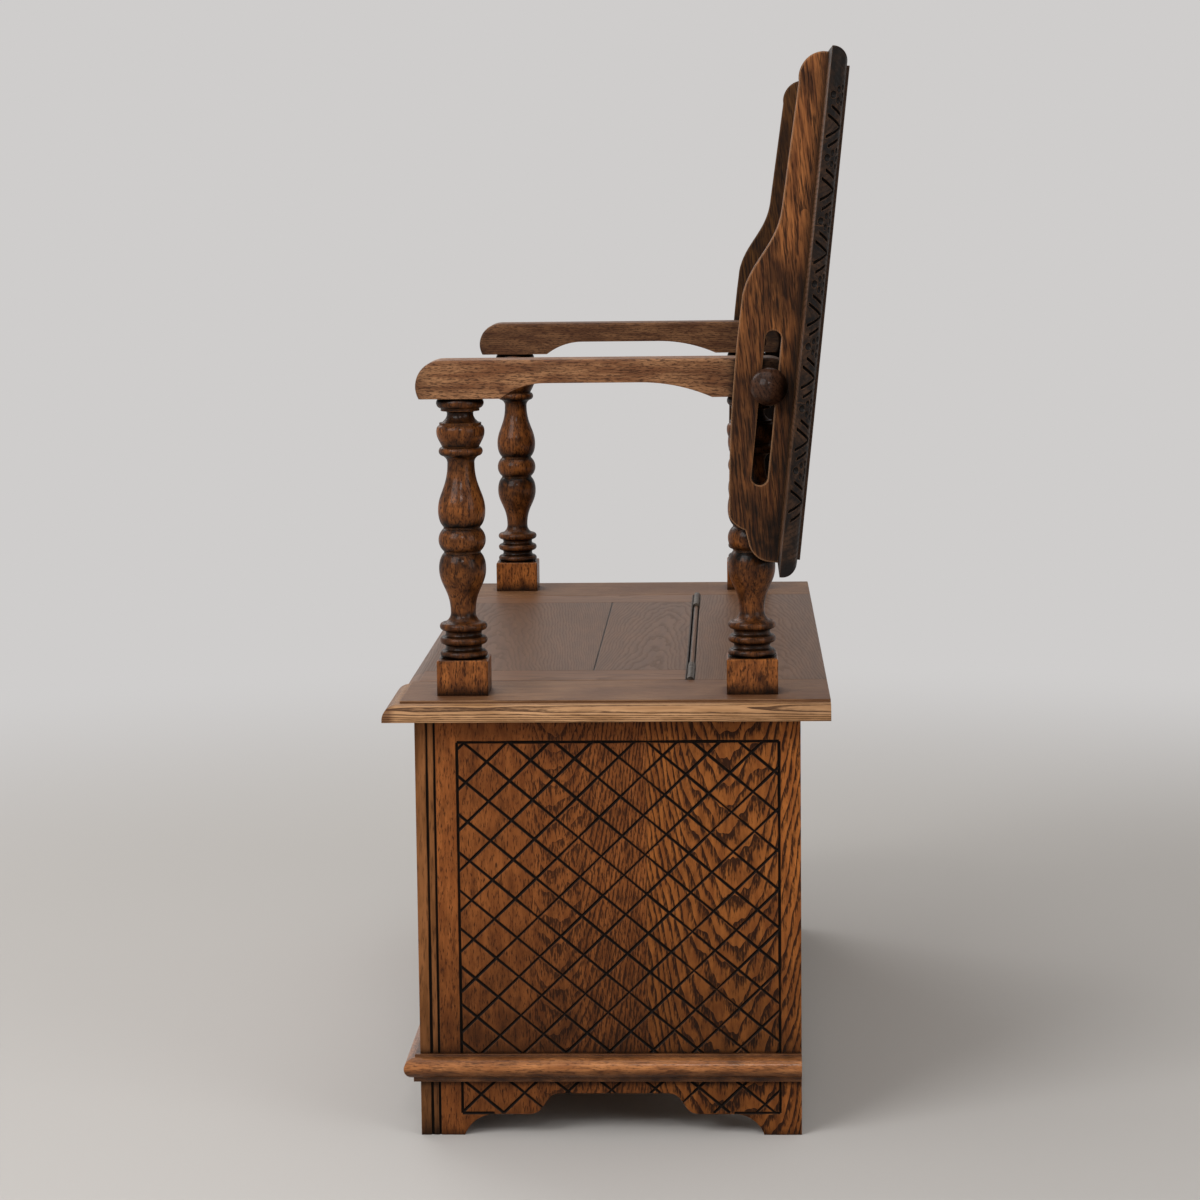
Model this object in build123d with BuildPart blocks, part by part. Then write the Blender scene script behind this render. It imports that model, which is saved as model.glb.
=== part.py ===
from build123d import *

import os
from math import ceil, cos, radians, sin, sqrt, tan

os.makedirs("parts", exist_ok=True)

# Monks bench: an oak box settle with a lifting seat, whose back tilts over on two pegs
# and slides forward to lie on the arms as a table top.
# +X is the sitter's left, the end shown square on; -Y is the front; the floor is Z = 0.

# Seat
seat_length = 914.0
seat_depth = 412.0
seat_height = 415.0
seat_thickness = 18.0
end_rail_width = 135.0
lid_setback = 6.0
lid_side_gap = 1.0
lid_rest_gap = 0.3
lid_clamp_width = 63.0
lid_front_board_depth = 181.0
tongue_length = 8.0
tongue_thickness = 6.0
seat_arris = 0.6

# Moulded edge of the seat and of the table top: a lip, an ovolo and a small step
ovolo_radius = 13.0
edge_quirk = 2.5
edge_step = 2.5

# Chest under the seat
chest_length = 860.0
chest_depth = 357.0
seat_front_overhang = 27.5
end_board_thickness = 19.0
end_seam_setback = 214.0
stile_width = 60.0
stile_thickness = 19.0
top_rail_width = 60.0
bottom_rail_top = 125.0
muntin_width = 60.0
panel_thickness = 8.0
panel_setback = 6.0
panel_groove_depth = 7.0
panel_bevel = 26.0
panel_field_rise = 4.0
tenon_length = 30.0
tenon_thickness = 6.5
tenon_shoulder = 10.0
back_board_thickness = 10.0
bottom_board_thickness = 9.0
bottom_board_top = 80.0
bearer_size = 18.0
batten_size = 20.0

# Feet: the lower edge of the boards steps up from the floor in two stages
foot_width = 41.0
rear_foot_width = 35.0
front_foot_width = stile_width
foot_rise = 20.0
arch_rise = 40.0
foot_hollow_run = 28.0
foot_ogee_run = 29.0
end_arch_half_flat = 50.5
end_arch_offset = 3.0
front_arch_half_flat = 215.0

# Base moulding: a torus between two small fillets, planted on the boards
base_bottom = 53.0
base_height = 26.0
base_torus_radius = 9.7
base_projection = 14.5
base_top_fillet = 2.5
base_low_fillet_projection = 6.0

# Incised work on the ends: a lattice of crossing V grooves inside a single border, cut by hand
# with its two slants unequal, and a reed between two grooves along the front edge
groove_width = 3.2
lattice_spacing = 27.5
lattice_rise_degrees = 44.2
lattice_fall_degrees = 40.4
lattice_front_margin = 39.0
lattice_back_margin = 20.0
lattice_top_margin = 23.0
lattice_bottom = 21.0
lattice_phase_y = 46.8
lattice_phase_z = 336.3
reed_setback = 10.8
reed_width = 7.2

# Turned posts, from the square block up
post_end_inset = 67.0
post_inset = 71.5
block_size = 47.5
block_height = 33.0
block_arris = 1.0
ring_height = 7.5
ring_radius = 22.2
ring_foot_radius = 18.5
ring_cove_height = 5.5
ring_cove_radius = 16.8
ring_count = 3
flare_height = 9.0
flare_radius = 17.5
lower_neck_radius = 11.7
lower_vase_height = 56.0
lower_vase_belly = 36.3
lower_vase_radius = 21.6
shoulder_radius = 17.2
bead_gap = 1.5
bead_height = 21.3
bead_radius = 22.0
upper_vase_height = 59.7
upper_vase_belly = 18.5
upper_vase_radius = 21.9
upper_neck_radius = 12.6
upper_flare_height = 6.5
collar_height = 8.5
collar_radius = 20.5
cup_height = 20.0
cup_lip_height = 6.0
cup_radius = 22.4
cup_foot_radius = 17.2
cup_lip_radius = 19.5
fillet_height = 2.25
scotia_height = 11.0
scotia_quick_height = 2.5
scotia_foot_radius = 17.3
scotia_neck_radius = 12.2
scotia_top_radius = 18.0
capital_height = 9.7
capital_radius = 22.1
capital_top_radius = 19.0
tenon_radius = 11.0
arm_tenon_length = 20.0
arm_tenon_wall = 1.5
socket_gap = 0.05

# Arms
arm_height = 35.6
arm_width = 45.0
arm_nose_setback = 32.0
arm_arch_rise = 14.0
arm_arch_front = 110.0
arm_arch_front_run = 41.0
arm_arch_rear_run = 66.0
arm_arch_length = 195.0
arm_edge_round = 3.0

# Back that tilts over as a table top
lean_degrees = 5.9
lean_gap = 0.7
table_rest_gap = 0.3
table_length = 1067.0
table_thickness = 17.0
table_above_pin = 304.0
table_below_pin = 162.0
table_board_count = 3
pin_drop = 24.0

# Slotted cleats that carry the back on the pegs
cleat_gap = 0.6
cleat_thickness = 22.0
cleat_end_inset = 1.5
cleat_tail_lip = 8.0
cleat_tail_round = 13.0
cleat_tail_depth = 27.5
cleat_tail_length = 27.0
cleat_tail_fall = 5.0
cleat_tail_cusp = 11.0
cleat_belly_start_depth = 48.5
cleat_belly_depth = 56.4
cleat_belly_margin = 36.0
cleat_belly_end_depth = 56.0
cleat_sweep_run = 80.0
cleat_waist_depth = 28.0
cleat_nose_run = 28.0
cleat_nose_depth = 24.0
cleat_nose_shoulder = 21.0
cleat_nose_shoulder_depth = 18.5
cleat_nose_lip = 5.0
slot_gap = 0.1
slot_above_pin = 42.5
slot_below_pin = 84.0

# Pivot pegs with turned ball heads
peg_radius = 7.4
peg_bore_gap = 0.05
peg_inner_gap = 2.0
peg_collar_gap = 0.3
peg_collar_radius = 10.0
peg_collar_thickness = 3.0
peg_neck_radius = 8.0
peg_neck_length = 2.0
ball_radius = 17.0

# Butt hinges of the lid
hinge_setback = 282.0
hinge_length = 98.0
hinge_axis_drop = 0.5
knuckle_radius = 3.5
knuckle_count = 5
knuckle_gap = 0.2
hinge_pin_radius = 1.5
hinge_pin_gap = 0.05
leaf_thickness = 1.6
leaf_height = 14.0
leaf_clearance = 0.6
hinge_end_gap = 1.0
hinge_wood_gap = 0.3
seat_bead_radius = 3.0

# Screws
hinge_screw_radius = 1.7
hinge_screw_length = 16.0
hinge_screw_head_radius = 3.0
hinge_screw_head_height = 1.0
hinge_screw_count = 3
cleat_screw_radius = 2.2
cleat_screw_head_radius = 4.0
cleat_screw_head_height = 3.0
cleat_screw_seat = 12.0
cleat_screw_bite = 11.0
cleat_screw_inset = 42.0
cleat_screw_slot_margin = 32.0
screw_hole_gap = 0.1

# Worked-out heights
edge_run = ovolo_radius + edge_quirk
seat_bottom = seat_height - seat_thickness
block_top = seat_height + block_height
ring_stack_height = ring_count * ring_height + (ring_count - 1) * ring_cove_height
lower_neck_top = ring_stack_height + flare_height
lower_vase_top = lower_neck_top + lower_vase_height
bead_bottom = lower_vase_top + bead_gap
bead_top = bead_bottom + bead_height
upper_vase_bottom = bead_top + bead_gap
upper_vase_top = upper_vase_bottom + upper_vase_height
collar_bottom = upper_vase_top + upper_flare_height
cup_bottom = collar_bottom + collar_height
cup_top = cup_bottom + cup_height
scotia_bottom = cup_top + fillet_height
scotia_top = scotia_bottom + scotia_height
capital_bottom = scotia_top + fillet_height
turning_height = capital_bottom + capital_height
arm_bottom = block_top + turning_height
arm_top = arm_bottom + arm_height
pin_z = arm_top - pin_drop

# The back leans on the lower vases of the rear posts, which places the pegs;
# depths are measured back from the front lip of the seat until the whole depth is known
lean = radians(lean_degrees)
pin_depth = pin_drop + table_rest_gap
rear_post_setback = seat_depth - post_inset
belly_drop = pin_z - (block_top + lower_neck_top + lower_vase_belly)
pin_to_belly = lower_vase_radius + lean_gap - pin_depth / cos(lean) + belly_drop * tan(lean)
pin_setback = rear_post_setback + pin_to_belly
face_reach = (table_above_pin - edge_run) * sin(lean) + (pin_depth + table_thickness) * cos(lean)
overall_depth = pin_setback + face_reach
arm_tenon_radius = pin_setback - rear_post_setback - peg_radius - peg_bore_gap - socket_gap - arm_tenon_wall

# Worked-out depths, with the middle of the overall depth at Y = 0
seat_front = -overall_depth / 2
seat_back = seat_front + seat_depth
chest_front = seat_front + seat_front_overhang
chest_back = chest_front + chest_depth
chest_middle = (chest_front + chest_back) / 2
frame_back = chest_front + stile_thickness
store_back = chest_back - back_board_thickness
end_seam = chest_front + end_seam_setback
lid_front = seat_front + lid_setback
lid_seam = lid_front + lid_front_board_depth
hinge_y = seat_front + hinge_setback
hinge_z = seat_height - hinge_axis_drop
lid_back = hinge_y - knuckle_radius - hinge_wood_gap
hinge_seat_face = hinge_y + knuckle_radius + hinge_wood_gap
post_front_y = seat_front + post_inset
post_rear_y = seat_back - post_inset
pin_y = seat_front + pin_setback

# Worked-out lengths
end_x = seat_length / 2
rail_inner_x = end_x - end_rail_width
clamp_outer_x = rail_inner_x - lid_side_gap
clamp_inner_x = clamp_outer_x - lid_clamp_width
chest_x = chest_length / 2
store_x = chest_x - end_board_thickness
stile_inner_x = chest_x - stile_width
post_x = end_x - post_end_inset
arm_outer_x = post_x + arm_width / 2
arm_inner_x = post_x - arm_width / 2
cleat_inner_x = arm_outer_x + cleat_gap
cleat_outer_x = cleat_inner_x + cleat_thickness
cleat_middle_x = cleat_inner_x + cleat_thickness / 2
hinge_outer_x = rail_inner_x - hinge_end_gap
hinge_inner_x = hinge_outer_x - hinge_length

# Planes of the leaning back, through the pegs: along it and across it
along_back = (0, sin(lean), cos(lean))
back_side = Plane((0, pin_y, pin_z), x_dir=along_back, z_dir=(-1, 0, 0))
back_end = Plane((0, pin_y, pin_z), x_dir=(1, 0, 0), z_dir=along_back)


def save(piece, label):
    """Label one finished piece and write it."""
    piece.part.label = label
    export_step(piece.part, f"parts/{label}.step")


def save_pair(right, label):
    """Write a right-hand piece and its mirror image on the left."""
    save(right, f"{label}_right")
    with BuildPart() as left:
        mirror(right.part, about=Plane.YZ)
    save(left, f"{label}_left")


def slab(low, high, mode=Mode.ADD):
    """A square-cut piece between two opposite corners."""
    size = [b - a for a, b in zip(low, high)]
    middle = tuple((a + b) / 2 for a, b in zip(low, high))
    with Locations(middle):
        Box(*size, mode=mode)


def ease_top(piece):
    """Take the arrises off the top face of one piece of the seat."""
    top_face = piece.faces().filter_by(Plane.XY).sort_by(Axis.Z)[-1]
    chamfer(top_face.outer_wire().edges(), seat_arris)


def moulded_section(first, last, bottom, top):
    """Section of a board with its ovolo moulded along both edges, widest at the underside."""
    middle = (first + last) / 2
    ovolo_top = top - edge_step
    lip_top = ovolo_top - ovolo_radius
    with BuildSketch(Plane.XY) as section:
        with BuildLine():
            lip = Line((first, bottom), (first, lip_top))
            ovolo = JernArc(lip @ 1, (0, 1), ovolo_radius, -90)
            Polyline(ovolo @ 1, (first + edge_run, ovolo_top), (first + edge_run, top), (middle, top))
            Line((middle, bottom), (first, bottom))
            mirror(about=Plane.YZ.offset(middle))
        make_face()
    return section.sketch


def foot_outline(front, back, top, first_foot, last_foot, arch_middle, half_flat):
    """Side of a board whose lower edge rises in a hollow, a flat and an ogee to a raised middle."""
    with BuildSketch(Plane.XY) as outline:
        with BuildLine():
            Line((front, 0), (front, top))
            Line((front, top), (back, top))
            Line((back, top), (back, 0))
            for edge, direction, foot in ((front, 1, first_foot), (back, -1, last_foot)):
                hollow_start = edge + direction * foot
                flat_start = hollow_start + direction * foot_hollow_run
                ogee_end = arch_middle - direction * half_flat
                ogee_start = ogee_end - direction * foot_ogee_run
                Line((edge, 0), (hollow_start, 0))
                TangentArc((flat_start, foot_rise), (hollow_start, 0), tangent=(-direction, 0))
                Line((flat_start, foot_rise), (ogee_start, foot_rise))
                Spline((ogee_start, foot_rise), (ogee_end, arch_rise),
                       tangents=[(direction, 0), (direction, 0)])
                Line((ogee_end, arch_rise), (arch_middle, arch_rise))
        make_face()
    return outline.sketch


def groove_bar(start, end):
    """A square bar set on edge along a line of an end face, which cuts a V groove there."""
    run = Vector(0, end[0] - start[0], end[1] - start[1])
    middle = (chest_x, (start[0] + end[0]) / 2, (start[1] + end[1]) / 2)
    side = groove_width / sqrt(2)
    bar = Box(run.length, side, side, mode=Mode.PRIVATE)
    return Plane(middle, x_dir=run, z_dir=(1, 0, 0)) * Rot(45, 0, 0) * bar


def lattice_bars():
    """Cutters for the lattice of one end: both slanting families, clipped to the border."""
    front = chest_front + lattice_front_margin
    back = chest_back - lattice_back_margin
    bottom = lattice_bottom
    top = seat_bottom - lattice_top_margin
    phase_y = chest_front + lattice_phase_y
    front_foot_end = chest_front + foot_width + foot_hollow_run
    rear_foot_end = chest_back - rear_foot_width - foot_hollow_run
    border = [(front_foot_end, bottom), (front, bottom), (front, top), (back, top), (back, bottom),
              (rear_foot_end, bottom)]
    bars = [groove_bar(a, b) for a, b in zip(border, border[1:])]
    for slant in (radians(lattice_rise_degrees), -radians(lattice_fall_degrees)):
        slope = tan(slant)
        pitch = lattice_spacing / cos(slant)
        reach = ceil(((back - front) * abs(slope) + top - bottom) / pitch)
        for index in range(-reach, reach + 1):
            level = lattice_phase_z + index * pitch
            ends = sorted(phase_y + (limit - level) / slope for limit in (bottom, top))
            first = max(front, ends[0])
            last = min(back, ends[1])
            if last - first > groove_width:
                points = [(y, level + slope * (y - phase_y)) for y in (first, last)]
                bars.append(groove_bar(*points))
    return bars


# End boards, each end glued up from two widths and cut with the lattice and the feet
end_outline = foot_outline(frame_back, chest_back, seat_bottom, foot_width - stile_thickness,
                           rear_foot_width, chest_middle + end_arch_offset, end_arch_half_flat)
end_grooves = lattice_bars()

for width, low_y, high_y in (("front", frame_back, end_seam), ("rear", end_seam, chest_back)):
    with BuildPart() as end_board:
        with BuildSketch(Plane.YZ.offset(store_x)):
            add(end_outline)
            with Locations(((low_y + high_y) / 2, seat_bottom / 2)):
                Rectangle(high_y - low_y, seat_bottom, mode=Mode.INTERSECT)
        extrude(amount=end_board_thickness)
        add(end_grooves, mode=Mode.SUBTRACT)
    save_pair(end_board, f"end_board_{width}")

# Front frame: stiles, rails and a muntin round two fielded panels
panel_front = chest_front + panel_setback
panel_back = panel_front + panel_thickness
panel_low_x = muntin_width / 2
panel_high_x = stile_inner_x
panel_low_z = bottom_rail_top
panel_high_z = seat_bottom - top_rail_width
tenon_front = chest_front + (stile_thickness - tenon_thickness) / 2
tenon_back = tenon_front + tenon_thickness
muntin_tenon_x = panel_low_x - panel_groove_depth


def panel_plate(mode, side):
    """The flat plate of one panel with its tongues, or the groove that takes them."""
    xs = sorted((side * (panel_low_x - panel_groove_depth), side * (panel_high_x + panel_groove_depth)))
    low = (xs[0], panel_front, panel_low_z - panel_groove_depth)
    high = (xs[1], panel_back, panel_high_z + panel_groove_depth)
    slab(low, high, mode=mode)


def rail_tenons(low_z, high_z, mode):
    """Stub tenons at both ends of a rail, or the mortises that take them."""
    low = (-stile_inner_x - tenon_length, tenon_front, low_z + tenon_shoulder)
    high = (stile_inner_x + tenon_length, tenon_back, high_z - tenon_shoulder)
    slab(low, high, mode=mode)


with BuildPart() as front_stile:
    slab((stile_inner_x, chest_front, 0), (chest_x, frame_back, seat_bottom))
    panel_plate(Mode.SUBTRACT, 1)
    rail_tenons(panel_high_z, seat_bottom, Mode.SUBTRACT)
    rail_tenons(arch_rise, bottom_rail_top, Mode.SUBTRACT)
    reed_lines = [chest_front + reed_setback, chest_front + reed_setback + reed_width]
    add([groove_bar((y, -groove_width), (y, seat_height)) for y in reed_lines], mode=Mode.SUBTRACT)
save_pair(front_stile, "front_stile")

with BuildPart() as front_top_rail:
    slab((-stile_inner_x, chest_front, panel_high_z), (stile_inner_x, frame_back, seat_bottom))
    for side in (-1, 1):
        panel_plate(Mode.SUBTRACT, side)
    rail_tenons(panel_high_z, seat_bottom, Mode.ADD)
    slab((-muntin_tenon_x, tenon_front, panel_high_z),
         (muntin_tenon_x, tenon_back, panel_high_z + tenon_shoulder), mode=Mode.SUBTRACT)
save(front_top_rail, "front_top_rail")

with BuildPart() as front_bottom_rail:
    with BuildSketch(Plane.XZ.offset(-chest_front)):
        add(foot_outline(-chest_x, chest_x, bottom_rail_top, front_foot_width, front_foot_width,
                         0, front_arch_half_flat))
        with Locations((0, bottom_rail_top / 2)):
            Rectangle(2 * stile_inner_x, bottom_rail_top, mode=Mode.INTERSECT)
    extrude(amount=-stile_thickness)
    for side in (-1, 1):
        panel_plate(Mode.SUBTRACT, side)
    rail_tenons(arch_rise, bottom_rail_top, Mode.ADD)
    slab((-muntin_tenon_x, tenon_front, bottom_rail_top - tenon_shoulder),
         (muntin_tenon_x, tenon_back, bottom_rail_top), mode=Mode.SUBTRACT)
save(front_bottom_rail, "front_bottom_rail")

with BuildPart() as front_muntin:
    slab((-panel_low_x, chest_front, panel_low_z), (panel_low_x, frame_back, panel_high_z))
    for side in (-1, 1):
        panel_plate(Mode.SUBTRACT, side)
    slab((-muntin_tenon_x, tenon_front, panel_low_z - tenon_shoulder),
         (muntin_tenon_x, tenon_back, panel_high_z + tenon_shoulder))
save(front_muntin, "front_muntin")

with BuildPart() as front_panel:
    panel_plate(Mode.ADD, 1)
    field_middle = ((panel_low_x + panel_high_x) / 2, (panel_low_z + panel_high_z) / 2)
    field_size = (panel_high_x - panel_low_x, panel_high_z - panel_low_z)
    for rise, inset in ((0, 0), (panel_field_rise, panel_bevel)):
        with BuildSketch(Plane.XZ.offset(rise - panel_front)):
            with Locations(field_middle):
                Rectangle(field_size[0] - 2 * inset, field_size[1] - 2 * inset)
    loft()
save_pair(front_panel, "front_panel")

# Back, bottom and the bearers and battens inside
back_seam = (base_bottom + seat_bottom) / 2
for name, low_z, high_z in (("lower", base_bottom, back_seam), ("upper", back_seam, seat_bottom)):
    with BuildPart() as back_board:
        slab((-store_x, store_back, low_z), (store_x, chest_back, high_z))
    save(back_board, f"back_board_{name}")

bottom_low = bottom_board_top - bottom_board_thickness
bottom_seam = (frame_back + store_back) / 2
for name, low_y, high_y in (("front", frame_back, bottom_seam), ("rear", bottom_seam, store_back)):
    with BuildPart() as bottom_board:
        slab((-store_x, low_y, bottom_low), (store_x, high_y, bottom_board_top))
    save(bottom_board, f"bottom_board_{name}")

bearer_x = store_x - bearer_size
bearer_low = bottom_low - bearer_size
with BuildPart() as end_bearer:
    slab((bearer_x, frame_back, bearer_low), (store_x, store_back, bottom_low))
save_pair(end_bearer, "bottom_bearer")

for name, low_y in (("front", frame_back), ("back", store_back - bearer_size)):
    with BuildPart() as long_bearer:
        slab((-bearer_x, low_y, bearer_low), (bearer_x, low_y + bearer_size, bottom_low))
    save(long_bearer, f"bottom_bearer_{name}")

with BuildPart() as seat_batten:
    slab((store_x - batten_size, frame_back, seat_bottom - batten_size), (store_x, store_back, seat_bottom))
save_pair(seat_batten, "seat_batten")

# Base moulding, mitred at the front corners and square at the back
with BuildSketch(Plane.XY) as base_section:
    torus_foot = base_projection - base_torus_radius
    torus_top = base_bottom + base_height - base_top_fillet
    torus_bottom = torus_top - 2 * base_torus_radius
    with BuildLine():
        Polyline((0, base_bottom), (0, base_bottom + base_height), (torus_foot, base_bottom + base_height),
                 (torus_foot, torus_top))
        ThreePointArc((torus_foot, torus_top), (base_projection, (torus_top + torus_bottom) / 2),
                      (torus_foot, torus_bottom))
        Polyline((torus_foot, torus_bottom), (base_low_fillet_projection, torus_bottom),
                 (base_low_fillet_projection, base_bottom), (0, base_bottom))
    make_face()

mitre = Plane((chest_x, chest_front, 0), x_dir=(0, 0, 1), z_dir=(1, 1, 0))
with BuildPart() as end_base:
    with BuildSketch(Plane((chest_x, chest_back, 0), x_dir=(1, 0, 0), z_dir=(0, -1, 0))):
        add(base_section.sketch)
    extrude(amount=chest_depth + base_projection)
    split(bisect_by=mitre, keep=Keep.TOP)
save_pair(end_base, "base_moulding")

with BuildPart() as front_base:
    with BuildSketch(Plane((chest_x + base_projection, chest_front, 0), x_dir=(0, -1, 0), z_dir=(-1, 0, 0))):
        add(base_section.sketch)
    extrude(amount=chest_x + base_projection)
    split(bisect_by=mitre, keep=Keep.BOTTOM)
    mirror(about=Plane.YZ)
save(front_base, "base_moulding_front")

# Seat: end rails and back board are fixed, the lid lies between them
with BuildPart() as end_rail:
    with BuildSketch(Plane.YZ.offset(rail_inner_x)):
        add(moulded_section(seat_front, seat_back + seat_depth, seat_bottom, seat_height))
        with Locations(((seat_front + seat_back) / 2, seat_bottom)):
            Rectangle(seat_depth, 2 * seat_height, mode=Mode.INTERSECT)
    extrude(amount=end_rail_width)
    with BuildSketch(Plane.XZ):
        add(moulded_section(-end_x, end_x, seat_bottom, seat_height))
    extrude(amount=2 * seat_depth, both=True, mode=Mode.INTERSECT)
    ease_top(end_rail)
    with Locations((post_x, post_front_y, seat_bottom), (post_x, post_rear_y, seat_bottom)):
        Cylinder(tenon_radius + socket_gap, 2 * seat_thickness, mode=Mode.SUBTRACT)
    tongue_bottom = seat_bottom + (seat_thickness - tongue_thickness) / 2
    slab((rail_inner_x, hinge_seat_face, tongue_bottom),
         (rail_inner_x + tongue_length, seat_back, tongue_bottom + tongue_thickness), mode=Mode.SUBTRACT)
save_pair(end_rail, "seat_end_rail")

# The back board has a bead along its front edge, cut away where the hinges sit,
# and a tongue at each end in the rails
hinge_middles = [side * (hinge_inner_x + hinge_outer_x) / 2 for side in (-1, 1)]
bead_middle_z = seat_height - seat_bead_radius
screw_pitch = hinge_length / hinge_screw_count
leaf_top = hinge_z - knuckle_radius - leaf_clearance
leaf_bottom = hinge_z - knuckle_radius - leaf_height
leaf_middle_z = (leaf_top + leaf_bottom) / 2
screw_xs = [middle + (step - (hinge_screw_count - 1) / 2) * screw_pitch
            for middle in hinge_middles for step in range(hinge_screw_count)]


def hinge_screw_holes(face_y, direction):
    """Pilot holes for the screws of one row of hinge leaves, drilled from the edge they lie on."""
    depth = hinge_screw_length + screw_hole_gap
    for x in screw_xs:
        with Locations((x, face_y + direction * depth / 2, leaf_middle_z)):
            Cylinder(hinge_screw_radius + screw_hole_gap, depth, rotation=(90, 0, 0), mode=Mode.SUBTRACT)


with BuildPart() as seat_back_board:
    slab((-rail_inner_x, hinge_seat_face, seat_bottom), (rail_inner_x, seat_back, seat_height))
    ease_top(seat_back_board)
    slab((-rail_inner_x, hinge_y, seat_bottom), (rail_inner_x, hinge_seat_face, bead_middle_z))
    slab((-rail_inner_x, hinge_y - seat_bead_radius, seat_bottom), (rail_inner_x, hinge_y, bead_middle_z))
    with Locations((0, hinge_y, bead_middle_z)):
        Cylinder(seat_bead_radius, 2 * rail_inner_x, rotation=(0, 90, 0))
    for middle in hinge_middles:
        slab((middle - hinge_length / 2 - hinge_end_gap, hinge_y - 2 * seat_bead_radius, seat_bottom),
             (middle + hinge_length / 2 + hinge_end_gap, hinge_seat_face, seat_height), mode=Mode.SUBTRACT)
    slab((-rail_inner_x - tongue_length, hinge_seat_face, tongue_bottom),
         (rail_inner_x + tongue_length, seat_back, tongue_bottom + tongue_thickness))
    hinge_screw_holes(hinge_seat_face, 1)
save(seat_back_board, "seat_back_board")

lid_bottom = seat_bottom + lid_rest_gap
lid_tongue_bottom = (lid_bottom + seat_height - tongue_thickness) / 2
lid_section = moulded_section(lid_front, lid_back + seat_depth, lid_bottom, seat_height)


def lid_plank(first_y, last_y):
    """Section of the lid between two depths, moulded only at its front lip."""
    with BuildSketch(Plane.XY) as section:
        add(lid_section)
        with Locations(((first_y + last_y) / 2, seat_height)):
            Rectangle(last_y - first_y, 2 * seat_height, mode=Mode.INTERSECT)
    return section.sketch


lid_tongue_front = lid_front + edge_run
for name, first_y, last_y in (("front", lid_front, lid_seam), ("rear", lid_seam, lid_back)):
    with BuildPart() as lid_board:
        with BuildSketch(Plane.YZ):
            add(lid_plank(first_y, last_y))
        extrude(amount=clamp_inner_x, both=True)
        ease_top(lid_board)
        slab((-clamp_inner_x - tongue_length, max(first_y, lid_tongue_front), lid_tongue_bottom),
             (clamp_inner_x + tongue_length, last_y, lid_tongue_bottom + tongue_thickness))
        if name == "rear":
            hinge_screw_holes(lid_back, -1)
    save(lid_board, f"lid_{name}_board")

with BuildPart() as lid_clamp:
    with BuildSketch(Plane.YZ.offset(clamp_inner_x)):
        add(lid_plank(lid_front, lid_back))
    extrude(amount=lid_clamp_width)
    ease_top(lid_clamp)
    slab((clamp_inner_x, lid_tongue_front, lid_tongue_bottom),
         (clamp_inner_x + tongue_length, lid_back, lid_tongue_bottom + tongue_thickness), mode=Mode.SUBTRACT)
    hinge_screw_holes(lid_back, -1)
save_pair(lid_clamp, "lid_end_clamp")

# Hinges: the leaves on the seat carry the odd knuckles, those on the lid the even ones
knuckle_length = hinge_length / knuckle_count


def hinge_leaves(first_knuckle, face_y, direction):
    """Both leaves of one row, with their knuckles; direction points from the wood to the barrel."""
    with BuildPart() as leaves:
        plate_ys = sorted((face_y, face_y + direction * leaf_thickness))
        for middle in hinge_middles:
            low_x = middle - hinge_length / 2
            slab((low_x, plate_ys[0], leaf_bottom), (low_x + hinge_length, plate_ys[1], leaf_top))
            for knuckle in range(first_knuckle, knuckle_count, 2):
                knuckle_x = low_x + (knuckle + 0.5) * knuckle_length
                half = (knuckle_length - knuckle_gap) / 2
                slab((knuckle_x - half, plate_ys[0], leaf_bottom), (knuckle_x + half, plate_ys[1], hinge_z))
                with Locations((knuckle_x, hinge_y, hinge_z)):
                    Cylinder(knuckle_radius, 2 * half, rotation=(0, 90, 0))
            with Locations((middle, hinge_y, hinge_z)):
                Cylinder(hinge_pin_radius + hinge_pin_gap, hinge_length, rotation=(0, 90, 0),
                         mode=Mode.SUBTRACT)
        for x in screw_xs:
            with Locations((x, face_y, leaf_middle_z)):
                Cylinder(hinge_screw_radius + screw_hole_gap, 4 * leaf_thickness, rotation=(90, 0, 0),
                         mode=Mode.SUBTRACT)
    return leaves


def hinge_screws(face_y, direction):
    """The screws of one row of leaves, their heads on the leaf and their shanks in the wood."""
    with BuildPart() as screws:
        head_middle = face_y + direction * (leaf_thickness + hinge_screw_head_height / 2)
        shank_middle = face_y - direction * (hinge_screw_length - leaf_thickness) / 2
        for x in screw_xs:
            with Locations((x, head_middle, leaf_middle_z)):
                Cylinder(hinge_screw_head_radius, hinge_screw_head_height, rotation=(90, 0, 0))
            with Locations((x, shank_middle, leaf_middle_z)):
                Cylinder(hinge_screw_radius, hinge_screw_length + leaf_thickness, rotation=(90, 0, 0))
    return screws


save(hinge_leaves(0, hinge_seat_face, -1), "hinge_seat_leaves")
save(hinge_leaves(1, lid_back, 1), "hinge_lid_leaves")
save(hinge_screws(hinge_seat_face, -1), "hinge_seat_screws")
save(hinge_screws(lid_back, 1), "hinge_lid_screws")

with BuildPart() as hinge_pins:
    for middle in hinge_middles:
        with Locations((middle, hinge_y, hinge_z)):
            Cylinder(hinge_pin_radius, hinge_length, rotation=(0, 90, 0))
save(hinge_pins, "hinge_pins")

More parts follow.
